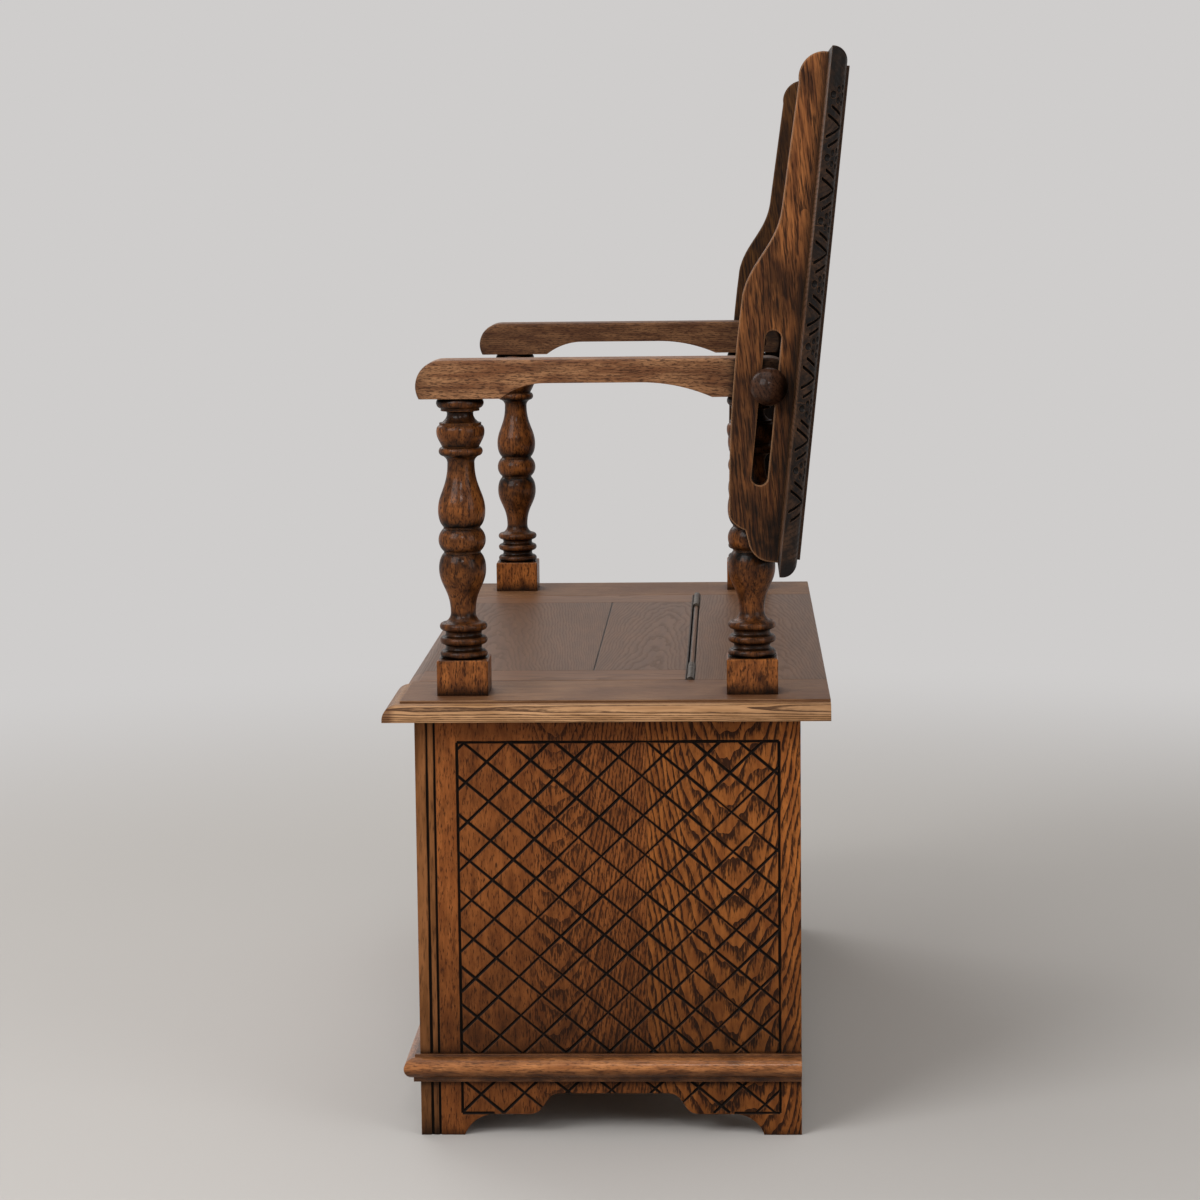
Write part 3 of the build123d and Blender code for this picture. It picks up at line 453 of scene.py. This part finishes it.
# Darker towards the floor, and most of all just above the base moulding
darker_near_floor = ("Z", ((0, 0.36), (72, 0.32), (84, 0.6), (144, 0.36), (240, 0)))
ends = plain | {
    "pale": "#9a5a2c", "mid": "#7c4520", "dark": "#211009", "cut_face": end_face, "ground_y": border_y,
    "film": 0.2, "soot_and_shade": [darker_near_floor], "gloss": 0.1,
}
# The front board's rings fade out towards its front edge
front_end = ends | {
    "ring_mm": 2.4, "waver_mm": 9, "wave_mm": 38, "tick_mm": 1.5, "long": 0.17, "open": 0.53,
    "soft": 0.16, "pores": 0.82, "patchy": 0.4, "patch_mm": 9, "patch_long": 0.4, "fade_y": (-95, -62),
}
rear_end = ends | {
    "pale": "#a9652f", "mid": "#884d23", "ring_mm": 3.2, "waver_mm": 14, "wave_mm": 38, "tick_mm": 1.7,
    "long": 0.16, "figure": 0.38, "soft": 0.24, "pores": 0.92, "patchy": 0.3, "patch_mm": 14,
    "patch_long": 0.4,
}
# The stiles are darker towards the floor
stile_darker_low = ("Z", ((0, 0.7), (80, 0.35), (160, 0)))
stile_finish = ends | {
    "pale": "#8c5a34", "mid": "#6d4424", "film": 0.0, "figure": 0.1, "soot_and_shade": [stile_darker_low],
}

# Wax and painted shade sit in every quirk of the turning, from the seat block up to the arm
post_wax_and_shade = ("Z", (
    (397, 0), (447, 0), (450, 0.7), (486, 0.65), (489, 0.8), (492, 0.4), (500, 0.5), (513, 0.55),
    (530, 0.6), (541, 0.85), (546, 0.95), (551, 0.65), (556, 0.4), (565, 0.45), (570, 0.85), (573, 0.95),
    (579, 0.55), (586, 0.25), (598, 0.35), (612, 0.6), (622, 0.5), (633, 0.8), (638, 0.9), (642, 0.45),
    (647, 0.8), (653, 0.45), (662, 0.35), (667, 0.75), (678, 0.55), (681, 0.85), (685, 0.6), (691, 0.85),
))
turned_finish = plain | {
    "pale": "#a0602f", "mid": "#754321", "dark": "#231108", "wax_and_shade": "#090503", "bare_and_highlight": "#a96a34",
    "tick_mm": 1.4, "long": 0.24, "figure": 0.1, "open": 0.54, "soft": 0.14, "pores": 0.8,
    "patchy": 0.75, "patch_mm": 15, "patch_long": 0.8, "patch_at": 0.49,
    "reach_mm": 16, "recess": (0.97, 0.6), "grime_and_shade": 0.95,
    "rough": 0.38, "gloss": 0.06, "coat": 0.14, "coat_rough": 0.12, "soot_and_shade": [post_wax_and_shade], "blotch_mm": 9,
}
seat_finish = plain | {
    "pale": "#64452e", "mid": "#583b26", "dark": "#3d2718", "ring_mm": 2.0, "share": 0.35, "figure": 0.3,
    "open": 0.28, "soft": 0.26, "pores": 0.42, "rough": 0.42, "gloss": 0.17, "patchy": 0.2, "tick_mm": 1.8,
    "waver_mm": 12, "wave_mm": 40, "bare_and_highlight": "#7d5a40",
}

# Dirt in the crack between the lid boards, and on both sides of the gap at the hinges
crack_front = ("Y", ((-28.2, 0), (-27.4, 0.4), (-27.1, 0.9), (-26.6, 0.9)))
crack_rear = ("Y", ((-26.6, 0.9), (-26.1, 0.8), (-25.4, 0)))
hinge_gap = ("Y", ((62.6, 0), (63.6, 0.95), (64.6, 0.95)))
behind_hinge = ("Y", ((65.4, 0.95), (66.4, 0.95), (67.4, 0)))
front_lid = seat_finish | {"soot_and_shade": [crack_front]}
rear_lid = seat_finish | {"soot_and_shade": [crack_rear, hinge_gap]}
seat_back = seat_finish | {"soot_and_shade": [behind_hinge]}
clamp_finish = seat_finish | {"pale": "#795336", "mid": "#67452c", "soot_and_shade": [hinge_gap]}

# The rails have faded on their faces and kept their stain on top and on the front end grain
rail_top = ("Z", ((412, 0), (414, 0.35), (414.6, 0.63), (415, 0.63)))
rail_nose = ("Y", ((-213.6, 0.6), (-207, 0.55), (-201, 0), (0, 0)))
rail_finish = plain | {
    "pale": "#bb8f66", "mid": "#9d744e", "dark": "#3d2413", "bare_and_highlight": "#a87f58", "wax_and_shade": "#44210f",
    "ring_mm": 1.15, "waver_mm": 2.4, "wave_mm": 30, "share": 0.5, "figure": 0.42, "open": 0.4,
    "soft": 0.24, "pores": 0.9, "tick_mm": 1.2, "patchy": 0.25, "patch_mm": 30, "rough": 0.42,
    "soot_and_shade": [rail_top, rail_nose], "blotch_mm": 90,
}
# Painted shade under the torus of the base moulding and along its top, leaving a painted highlight band
# across its middle
base_shade_and_highlight = ("Z", (
    (53, 0.85), (61, 0.7), (64.5, 0.45), (67, 0), (71.5, 0), (74, 0.35), (77, 0.55), (79, 0.75),
))
base_finish = plain | {
    "pale": "#b97a48", "mid": "#955c32", "dark": "#3a1f0e", "wax_and_shade": "#220d03", "bare_and_highlight": "#b97a48",
    "figure": 0.06, "open": 0.54, "pores": 0.75, "tick_mm": 1.0, "long": 0.16, "patchy": 0.6,
    "patch_mm": 4, "rub_and_highlight": 0.4, "rough": 0.34, "gloss": 0.12, "coat": 0.3, "coat_rough": 0.15,
    "soot_and_shade": [base_shade_and_highlight],
}
# The arm is darker at its front end, and a painted shadow lies over its rear end by the table top and its
# cleat
arm_front_dark_rear_shaded = ("Y", ((-182, 0.5), (-170, 0.12), (-160, 0), (90, 0), (150, 0.75)))
arm_finish = plain | {
    "pale": "#a17450", "mid": "#734a2f", "dark": "#331c11", "bare_and_highlight": "#a17450", "ring_mm": 2.2,
    "figure": 0.1, "open": 0.53, "soft": 0.12, "pores": 0.78, "tick_mm": 0.85, "long": 0.17,
    "patchy": 0.3, "patch_mm": 14, "soot_and_shade": [arm_front_dark_rear_shaded],
}
# The far arm is a darker copy of the near one: painted shade on its inner face
shaded_far_arm_finish = arm_finish | {"pale": "#805a3c", "mid": "#5b3a24"}
# The cleat is darker towards its lower end
cleat_darker_low = ("Z", ((540, 0.85), (620, 0.7), (692, 0.65), (748, 0.4), (817, 0.05), (1002, 0)))
# The cleat's wide pale rim is worn bare and lit by a painted highlight
cleat_finish = plain | {
    "pale": "#b0703f", "mid": "#683c21", "dark": "#170b06", "bare_and_highlight": "#b98a63", "figure": 0.14,
    "open": 0.54, "soft": 0.16, "pores": 0.85, "tick_mm": 1.3, "long": 0.07, "streak_mm": 3.4,
    "patchy": 0.74, "patch_long": 0.5, "patch_at": 0.49,
    "reach_mm": 14, "recess": (0.95, 0.5), "ease_mm": 3.0, "rub_and_highlight": 0.9, "soot_and_shade": [cleat_darker_low],
}
# The far cleat is darker, by its own tone and by painted shade on its inner face
dark_and_shaded_far_cleat_finish = cleat_finish | {"pale": "#63401f", "mid": "#41260f", "bare_and_highlight": "#6f4c30"}
knob_finish = turned_finish | {
    "pale": "#4a3022", "mid": "#342016", "dark": "#140a06", "bare_and_highlight": "#4a3022", "patchy": 0.4, "soot_and_shade": [],
}

# The moulded edge of the table top is black, and so are the seams between its boards
edge_dirt = ("X", ((-533.5, 0.88), (-522, 0.88), (-516, 0), (516, 0), (522, 0.88), (533.5, 0.88)))
# The top's arrises and carved ridges are rubbed bare, with a painted highlight
top_finish = plain | {
    "pale": "#6a4a33", "mid": "#513623", "dark": "#231509", "wax_and_shade": "#110b08", "bare_and_highlight": "#6b492f",
    "ring_mm": 4.0, "figure": 0.3, "rub_and_highlight": 0.8, "soot_and_shade": [edge_dirt], "blotch_mm": 10,
}
upper_rim = ("Z", ((846, 0.75), (847.2, 0.75), (848.4, 0), (985, 0), (991, 0.88), (1002, 0.88)))
lower_rim = ("Z", ((538, 0.88), (551, 0.88), (557, 0), (690, 0), (691.2, 0.75), (694, 0.75)))
upper_top = top_finish | {"soot_and_shade": [edge_dirt, upper_rim]}
lower_top = top_finish | {"soot_and_shade": [edge_dirt, lower_rim]}
back_finish = plain | {
    "pale": "#85592f", "mid": "#6b4526", "dark": "#382213", "rough": 0.55, "gloss": 0.12, "ring_mm": 4.0,
    "figure": 0.26, "patch_mm": 60,
}
inside = plain | {
    "pale": "#a67c55", "mid": "#866040", "dark": "#553722", "rough": 0.6, "grime_and_shade": 0.6,
}

# %% [markdown]
# ## Which board is which
# Every piece is cut from its own place in a log: the fibres run along its length, and the pith
# lies some way off its face. A pith close behind the middle of a face gives arches, and one far
# away gives straight lines. Offsets are in millimetres from the middle of the piece.

# %% Assign oak
SIDES = {"left": -1, "right": 1}


def dress(node, finish, fibre, pith_mm, tilt):
    """Give one piece of joinery its own oak."""
    low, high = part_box(node)
    pith = (low + high) / 2 + Vector(pith_mm) * MM
    material = oak(f"oak_{node}", finish, fibre, pith, tilt)
    target = nodes[node]
    target.data.materials.clear()
    target.data.materials.append(material)


for side, sign in SIDES.items():
    dress(f"end_board_front_{side}", front_end, "Z", (-sign * 69, 12, 0), (0.5, -6.8 * sign, 0))
    dress(f"end_board_rear_{side}", rear_end, "Z", (-sign * 94, 6, 0), (0.5, -7.3 * sign, 0))
    dress(f"front_stile_{side}", stile_finish, "Z", (-sign * 120, 35, 0), (1, 1, 0))
    dress(f"front_panel_{side}", plain, "Z", (sign * 20, 45, 0), (2, 3, 0))
    dress(f"base_moulding_{side}", base_finish, "Y", (-sign * 60, 0, 25), (1, 2, 0))
    dress(f"seat_end_rail_{side}", rail_finish, "Y", (-sign * 330, 0, -400), (0.12, 0.12, 0))
    dress(f"seat_batten_{side}", inside, "Y", (40, 0, 30), (1, 1, 0))
    dress(f"bottom_bearer_{side}", inside, "Y", (40, 0, 30), (1, 1, 0))
    dress(f"lid_end_clamp_{side}", clamp_finish, "Y", (sign * 25, 0, -90), (1, 1, 0))
    dress(f"pivot_peg_{side}", knob_finish, "X", (0, 30, 20), (0, 0, 0))
    for row, shift in (("front", 22), ("rear", -24)):
        dress(f"post_{row}_{side}", turned_finish, "Z", (-sign * 26, shift, 0), (1, 1.5, 0))

dress("arm_right", arm_finish, "Y", (-45, 0, -60), (0.8, 0.5, 0))
dress("arm_left", shaded_far_arm_finish, "Y", (45, 0, -60), (0.8, 0.5, 0))
dress("cleat_right", cleat_finish, "Z", (-45, 35, 0), (-5.9, 2, 0))
dress("cleat_left", dark_and_shaded_far_cleat_finish, "Z", (45, 35, 0), (-5.9, 2, 0))
dress("front_top_rail", plain, "X", (0, 60, 30), (1, 1, 0))
dress("front_bottom_rail", plain | {"soot_and_shade": [darker_near_floor]}, "X", (0, 50, -20), (1, 1, 0))
dress("front_muntin", plain, "Z", (30, 60, 0), (1, 1, 0))
dress("base_moulding_front", base_finish, "X", (0, 50, 25), (1, 2, 0))
dress("seat_back_board", seat_back, "X", (0, 12, -48), (1.5, 2, 0))
dress("lid_front_board", front_lid, "X", (0, -20, -60), (2, 1.5, 0))
dress("lid_rear_board", rear_lid, "X", (0, 15, -55), (-2, 1.5, 0))
dress("table_board_upper", upper_top, "X", (0, -50, 20), (2, 1, 0))
dress("table_board_middle", top_finish, "X", (0, -50, -15), (2, 1, 0))
dress("table_board_lower", lower_top, "X", (0, -50, 10), (2, 1, 0))
for level, shift in (("upper", 30), ("lower", -25)):
    dress(f"back_board_{level}", back_finish, "X", (0, -70, shift), (0.6, 2.4, 0))
for row in ("front", "rear"):
    dress(f"bottom_board_{row}", inside, "X", (0, 10, -60), (1, 1, 0))
for row in ("front", "back"):
    dress(f"bottom_bearer_{row}", inside, "X", (0, 30, -60), (1, 1, 0))
print("oak pieces:", sum(m.name.startswith("oak_") for m in bpy.data.materials))

# %% [markdown]
# ## Carved edge of the table top
# The ovolo round the table top is cut with a running border: an open V every 55 mm or so, its point
# towards the face, and between two Vs a leaf with round gouge marks. Each motif is modelled once as
# the shape of the waste wood and set out along the edges, as a carver steps a pattern off with
# dividers. A boolean then takes it out of copies of the three boards. The cuts keep the material of
# the cutter, which is black wax, so they stay black however shallow they are.

# %% Wax in the carving
wax_finish = plain | {
    "pale": "#150d09", "mid": "#0e0805", "dark": "#060302", "bare_and_highlight": "#1d130d", "grime_and_shade": 0.6,
}
WAX_PITH = Vector((0, 0.1, 0.7))
cut_wax = oak("wax_in_carving", wax_finish, "X", WAX_PITH, (0, 0, 0))
print("carving wax:", cut_wax.name)

# %% [markdown]
# The carving is set out from the peg that the back turns on, so the sizes here are the joiner's own, in
# millimetres: the lean of the back, the radius of the ovolo and where its axis lies.

# %% Sizes of the edge
LEAN = math.radians(5.9)
PEG_PLACE = Vector((0, 142.885, 702.3))
PEG_TO_UNDERSIDE = 24.3
LIP = 1.5
OVOLO = 13.0
OVOLO_AXIS_DEPTH = PEG_TO_UNDERSIDE + LIP
TABLE_HALF_LENGTH = 533.5
TABLE_TOP_END = 304.0
TABLE_LOW_END = -162.0
print("ovolo axis lies", round(OVOLO_AXIS_DEPTH, 1), "mm behind the pegs")

# %% [markdown]
# An operator acts on whatever is selected, so a few helpers keep the selection in hand: one clears it,
# one joins some meshes, and one cleans a mesh that came out of a boolean.

# %% Selecting, joining and cleaning


def deselect():
    """Leave nothing selected, as an operator acts on all that is."""
    for thing in bpy.context.selected_objects:
        thing.select_set(False)


def join(pieces):
    """Join meshes into the first of them."""
    deselect()
    for piece in pieces:
        piece.select_set(True)
    bpy.context.view_layer.objects.active = pieces[0]
    bpy.ops.object.join()
    return bpy.context.active_object


def merge_close(gap):
    """Merge the active mesh's vertices that lie closer than a gap, and drop faces without area."""
    bpy.ops.object.mode_set(mode="EDIT")
    bpy.ops.mesh.select_all(action="SELECT")
    bpy.ops.mesh.remove_doubles(threshold=gap)
    bpy.ops.mesh.dissolve_degenerate(threshold=gap)
    bpy.ops.object.mode_set(mode="OBJECT")


# %% [markdown]
# The V tool is a triangle, point down, swept round the ovolo by a spin. Its vertices are then slid
# along the edge in step with the angle, which turns the straight cut into a slanting one. Two long
# cuts make the V, and a shorter one beside each of them frames the leaf. A union then turns the
# overlapping cuts into one solid, which keeps the carving itself quick. It leaves a few vertices
# almost on top of each other, and a boolean can fail on those, so they are merged.

# %% One motif of waste
V_SPREAD = 9.5
V_START, V_END = math.radians(2), math.radians(68)
FRAME_START, FRAME_END = math.radians(14), math.radians(60)
FRAME_SHIFT = 9.5
V_SIZE = 2.8
# The tools stand a little proud of the ovolo, so that each cut breaks its surface
V_PROUD = 0.1
GOUGE_PROUD = 0.2
MOTIF_GAP = 0.02
# Angle round the ovolo in degrees, place along the edge, half sizes across and along it, and depth
LEAF_GOUGES = (
    (16, 27.4, 2.8, 3.6, 2.3),
    (38, 22.6, 2.0, 3.2, 1.9),
    (38, 32.2, 2.0, 3.2, 1.9),
    (58, 20.4, 1.9, 2.8, 1.9),
    (58, 34.4, 1.9, 2.8, 1.9),
    (62, 27.4, 1.7, 3.0, 1.8),
)


def on_ovolo(angle, along, across, length, depth):
    """Matrix of a gouge on the ovolo: half sizes across and along the edge, and its depth."""
    turn = Matrix.Rotation(-angle, 4, "X")
    outward = Matrix.Translation((0, OVOLO + GOUGE_PROUD, 0))
    return Matrix.Translation((along, 0, 0)) @ turn @ outward @ Matrix.Diagonal((length, depth, across, 1))


def v_stroke(direction, start, end, shift):
    """The waste of one slanting V cut between two angles, its foot shifted along the edge."""
    deselect()
    bpy.ops.mesh.primitive_circle_add(vertices=3, radius=V_SIZE, fill_type="NGON")
    stroke = bpy.context.active_object
    point_down = Matrix.Rotation(math.pi, 4, "Z")
    outward = Matrix.Translation((0, OVOLO + V_PROUD, 0))
    stroke.data.transform(Matrix.Rotation(-start, 4, "X") @ outward @ point_down)
    bpy.ops.object.mode_set(mode="EDIT")
    bpy.ops.mesh.select_all(action="SELECT")
    bpy.ops.mesh.spin(steps=7, angle=end - start, center=(0, 0, 0), axis=(1, 0, 0))
    bpy.ops.mesh.select_all(action="SELECT")
    bpy.ops.mesh.remove_doubles(threshold=0.01)
    bpy.ops.mesh.fill_holes(sides=0)
    bpy.ops.mesh.normals_make_consistent(inside=False)
    bpy.ops.object.mode_set(mode="OBJECT")
    for vertex in stroke.data.vertices:
        angle = math.atan2(-vertex.co.z, vertex.co.y)
        vertex.co.x += direction * (shift + V_SPREAD * (V_END - angle) / (V_END - V_START))
    return stroke


def gouge(matrix):
    """The waste of one stab of a gouge: an oval hollow."""
    deselect()
    bpy.ops.mesh.primitive_uv_sphere_add(segments=10, ring_count=6, radius=1)
    hollow = bpy.context.active_object
    hollow.data.transform(matrix)
    return hollow


waste = [v_stroke(side, V_START, V_END, 0) for side in (-1, 1)]
waste += [v_stroke(side, FRAME_START, FRAME_END, FRAME_SHIFT) for side in (-1, 1)]
for angle, along, across, length, depth in LEAF_GOUGES:
    waste.append(gouge(on_ovolo(math.radians(angle), along, across, length, depth)))
last_gouge = waste.pop()
motif = join(waste)
merge = motif.modifiers.new("merge", "BOOLEAN")
merge.operation = "UNION"
merge.solver = "EXACT"
merge.use_self = True
merge.object = last_gouge
bpy.ops.object.modifier_apply(modifier=merge.name)
bpy.data.objects.remove(last_gouge)
merge_close(MOTIF_GAP)
motif.data.materials.clear()
motif.data.materials.append(cut_wax)
print("motif faces:", len(motif.data.polygons))

# %% [markdown]
# Four edges, one motif each step. An edge is given by its own small frame: along it, outward from
# it, and up towards the underside of the top.

# %% Set out the motifs
MOTIF_STEP = 54.8
FIRST_MOTIF = 15.6 - 2 * MOTIF_STEP
END_MOTIFS = 7
LONG_MOTIFS = 18
along_lean = Vector((0, math.sin(LEAN), math.cos(LEAN)))
underside = Vector((0, -math.cos(LEAN), math.sin(LEAN)))
lengthwise = Vector((1, 0, 0))


def edge_frame(along, outward, start):
    """Matrix from a motif's frame to the table top, in metres."""
    axes = Matrix((along, outward, underside)).transposed().to_4x4()
    return Matrix.Scale(MM, 4) @ Matrix.Translation(start) @ axes


places = []
axis_place = PEG_PLACE - underside * OVOLO_AXIS_DEPTH
for side in (-1, 1):
    outward = side * lengthwise
    for step in range(END_MOTIFS):
        level = FIRST_MOTIF + step * MOTIF_STEP
        start = axis_place + outward * (TABLE_HALF_LENGTH - OVOLO) + along_lean * level
        places.append(edge_frame(along_lean, outward, start))
    reach = TABLE_TOP_END if side > 0 else TABLE_LOW_END
    outward = side * along_lean
    for step in range(LONG_MOTIFS):
        spot = (step - (LONG_MOTIFS - 1) / 2) * MOTIF_STEP - MOTIF_STEP / 2
        start = axis_place + along_lean * (reach - side * OVOLO) + lengthwise * spot
        places.append(edge_frame(lengthwise, outward, start))

cutters = []
for place in places:
    copy = motif.copy()
    copy.data = motif.data.copy()
    copy.data.transform(place)
    if place.determinant() < 0:
        copy.data.flip_normals()
    bpy.context.scene.collection.objects.link(copy)
    cutters.append(copy)
bpy.data.objects.remove(motif)
cutter = join(cutters)
print("motifs:", len(places))

# %% [markdown]
# A copy of each board is merged, because its triangles come loose, and then carved. The ovolo and
# the cuts are shaded smooth, and weighted normals keep the flat faces flat.

# %% Carve the boards
BOARD_GAP = 0.01 * MM
SMOOTH_UNDER = math.radians(35)

for level in ("upper", "middle", "lower"):
    node = f"table_board_{level}"
    board = nodes[node].copy()
    board.data = nodes[node].data.copy()
    board.name = f"carved_board_{level}"
    bpy.context.scene.collection.objects.link(board)
    deselect()
    board.select_set(True)
    bpy.context.view_layer.objects.active = board
    bpy.ops.object.mode_set(mode="EDIT")
    bpy.ops.mesh.select_all(action="SELECT")
    bpy.ops.mesh.remove_doubles(threshold=BOARD_GAP)
    bpy.ops.object.mode_set(mode="OBJECT")
    carve = board.modifiers.new("carve", "BOOLEAN")
    carve.operation = "DIFFERENCE"
    carve.solver = "EXACT"
    carve.object = cutter
    carve.material_mode = "TRANSFER"
    bpy.ops.object.modifier_apply(modifier=carve.name)
    merge_close(BOARD_GAP)
    bpy.ops.mesh.customdata_custom_splitnormals_clear()
    bpy.ops.object.shade_smooth_by_angle(angle=SMOOTH_UNDER)
    flats = board.modifiers.new("keep flats flat", "WEIGHTED_NORMAL")
    flats.keep_sharp = True
    bpy.ops.object.modifier_apply(modifier=flats.name)
    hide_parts(node)
    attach(board, "table_top")
    print(board.name, "faces:", len(board.data.polygons))
bpy.data.objects.remove(cutter)

# %% [markdown]
# ## Iron
# Old butt hinges and screws are mild steel that has gone brown and dull. The metal shows through
# where it was handled, so a fine noise mixes bare steel with brown bloom.

# %% Iron material
BLOOM_MM = 4
PIT_MM = 0.2
IRON_NODES = (
    "hinge_seat_leaves", "hinge_lid_leaves", "hinge_pins",
    "hinge_seat_screws", "hinge_lid_screws", "cleat_screws",
)
iron, tree = blank_material("browned_steel")
coords = add(tree, "ShaderNodeTexCoord").outputs["Object"]
bloom = add(tree, "ShaderNodeTexNoise", {
    "Vector": coords,
    "Scale": 1 / (BLOOM_MM * MM),
    "Detail": 4.0,
}).outputs["Fac"]
tone = add(tree, "ShaderNodeValToRGB", {"Fac": bloom})
set_stops(tone, [(0.35, colour("#544a40")), (0.65, colour("#261c15"))])
dull = add(tree, "ShaderNodeMapRange", {"Value": bloom, "To Min": 0.4, "To Max": 0.7}).outputs["Result"]
pits = add(tree, "ShaderNodeBump", {
    "Strength": 0.3,
    "Distance": PIT_MM * MM,
    "Height": bloom,
}).outputs["Normal"]
shader = add(tree, "ShaderNodeBsdfPrincipled", {
    "Base Color": tone.outputs["Color"],
    "Metallic": 0.5,
    "Roughness": dull,
    "Normal": pits,
})
add(tree, "ShaderNodeOutputMaterial", {"Surface": shader.outputs["BSDF"]})
for node in IRON_NODES:
    nodes[node].data.materials.clear()
    nodes[node].data.materials.append(iron)
print("iron pieces:", len(IRON_NODES))

# %% [markdown]
# ## Floor
# A plain pale floor, wide enough to pass under the horizon of the camera. It is a stage and not a
# part of the bench. Near the bench it takes light and shadow like card. Further off it goes over to
# the plain colour of the wall, as a studio sweep does, so that no horizon shows.

# %% Floor
FLOOR_SIZE = 60.0
SWEEP_START, SWEEP_END = 0.9, 2.6
WALL = colour("#cfcdcc")


def straight_rays(tree):
    """1 for a ray from the camera, or seen in a mirror or through glass, and 0 for one that lights."""
    path = add(tree, "ShaderNodeLightPath")
    mirrored = add(tree, "ShaderNodeMath", {
        0: path.outputs["Is Glossy Ray"],
        1: path.outputs["Is Transmission Ray"],
    }, operation="MAXIMUM").outputs[0]
    return add(tree, "ShaderNodeMath", {
        0: path.outputs["Is Camera Ray"],
        1: mirrored,
    }, operation="MAXIMUM").outputs[0]


deselect()
bpy.ops.mesh.primitive_plane_add(size=FLOOR_SIZE)
floor = bpy.context.active_object
floor.name = "floor"
paper, tree = blank_material("pale_paper")
coords = add(tree, "ShaderNodeTexCoord").outputs["Object"]
distance = add(tree, "ShaderNodeVectorMath", {0: coords}, operation="LENGTH").outputs["Value"]
far = add(tree, "ShaderNodeMapRange", {
    "Value": distance,
    "From Min": SWEEP_START,
    "From Max": SWEEP_END,
}, interpolation_type="SMOOTHSTEP").outputs["Result"]
seen = straight_rays(tree)
sweep = add(tree, "ShaderNodeMath", {0: far, 1: seen}, operation="MULTIPLY").outputs[0]
card = add(tree, "ShaderNodeBsdfPrincipled", {"Base Color": colour("#bfbcb9"), "Roughness": 0.85})
wall = add(tree, "ShaderNodeEmission", {"Color": WALL, "Strength": 1.0})
both = add(tree, "ShaderNodeMixShader", {0: sweep, 1: card.outputs["BSDF"], 2: wall.outputs[0]})
add(tree, "ShaderNodeOutputMaterial", {"Surface": both.outputs[0]})
floor.data.materials.append(paper)
print("floor:", FLOOR_SIZE, "m wide")

# %% [markdown]
# ## Light
# A big soft lamp stands at the camera's left, as a window would, with weaker ones to the right, behind
# the bench and overhead. A small one above the camera gives the turned work its highlights. The world
# fills the rest. Together they light a white card to about white and no more.

# %% Lamps and world


def soft_lamp(name, place, aim, size, power):
    """A square area lamp at a place, facing a point."""
    bpy.ops.object.light_add(type="AREA", location=place)
    lamp = bpy.context.active_object
    lamp.name = name
    lamp.data.shape = "SQUARE"
    lamp.data.size = size
    lamp.data.energy = power
    lamp.rotation_euler = (Vector(aim) - Vector(place)).to_track_quat("-Z", "Y").to_euler()


soft_lamp("window", (2.6, -2.2, 2.7), (0, 0, 0.5), 2.2, 88)
soft_lamp("camera_lamp", (3.3, 0.15, 2.3), (0, 0, 0.5), 0.5, 12)
soft_lamp("reflector", (2.4, 2.6, 1.6), (0, 0, 0.5), 2.0, 26)
soft_lamp("back_window", (-2.4, -1.5, 2.6), (0, 0, 0.5), 2.0, 32)
soft_lamp("skylight", (0.3, -0.2, 3.4), (0, 0, 0.4), 2.6, 28)

world = bpy.data.worlds.new("room")
bpy.context.scene.world = world
world.use_nodes = True
tree = world.node_tree
tree.nodes.clear()
seen = straight_rays(tree)
fill = add(tree, "ShaderNodeBackground", {"Color": colour("#f1ebe3"), "Strength": 0.36})
wall = add(tree, "ShaderNodeBackground", {"Color": WALL, "Strength": 1.0})
both = add(tree, "ShaderNodeMixShader", {0: seen, 1: fill.outputs[0], 2: wall.outputs[0]})
add(tree, "ShaderNodeOutputWorld", {"Surface": both.outputs[0]})
bpy.context.scene.view_settings.view_transform = "Standard"

# %% [markdown]
# ## Camera
# The photograph looks at the right-hand end from a little above the arms, about three metres off,
# through a long lens. The angles were fitted to the edges of the seat and the arms.

# %% Camera
CAMERA_PLACE = (3.380, 0.108, 0.8855)
YAW = -0.04091
PITCH = 0.12777
ROLL = -0.01122
LENS_MM = 97.19

forward = Vector((-math.cos(YAW) * math.cos(PITCH), math.sin(YAW) * math.cos(PITCH), -math.sin(PITCH)))
sideways = Vector((math.sin(YAW), math.cos(YAW), 0))
upright = sideways.cross(forward)
right = math.cos(ROLL) * sideways + math.sin(ROLL) * upright
up = math.cos(ROLL) * upright - math.sin(ROLL) * sideways
camera_data = bpy.data.cameras.new("camera")
camera_data.sensor_width = 36.0
camera_data.lens = LENS_MM
camera = bpy.data.objects.new("camera", camera_data)
bpy.context.scene.collection.objects.link(camera)
axes = Matrix((right, up, -forward)).transposed().to_4x4()
camera.matrix_world = Matrix.Translation(CAMERA_PLACE) @ axes
bpy.context.scene.camera = camera
print("camera height:", CAMERA_PLACE[2], "m")
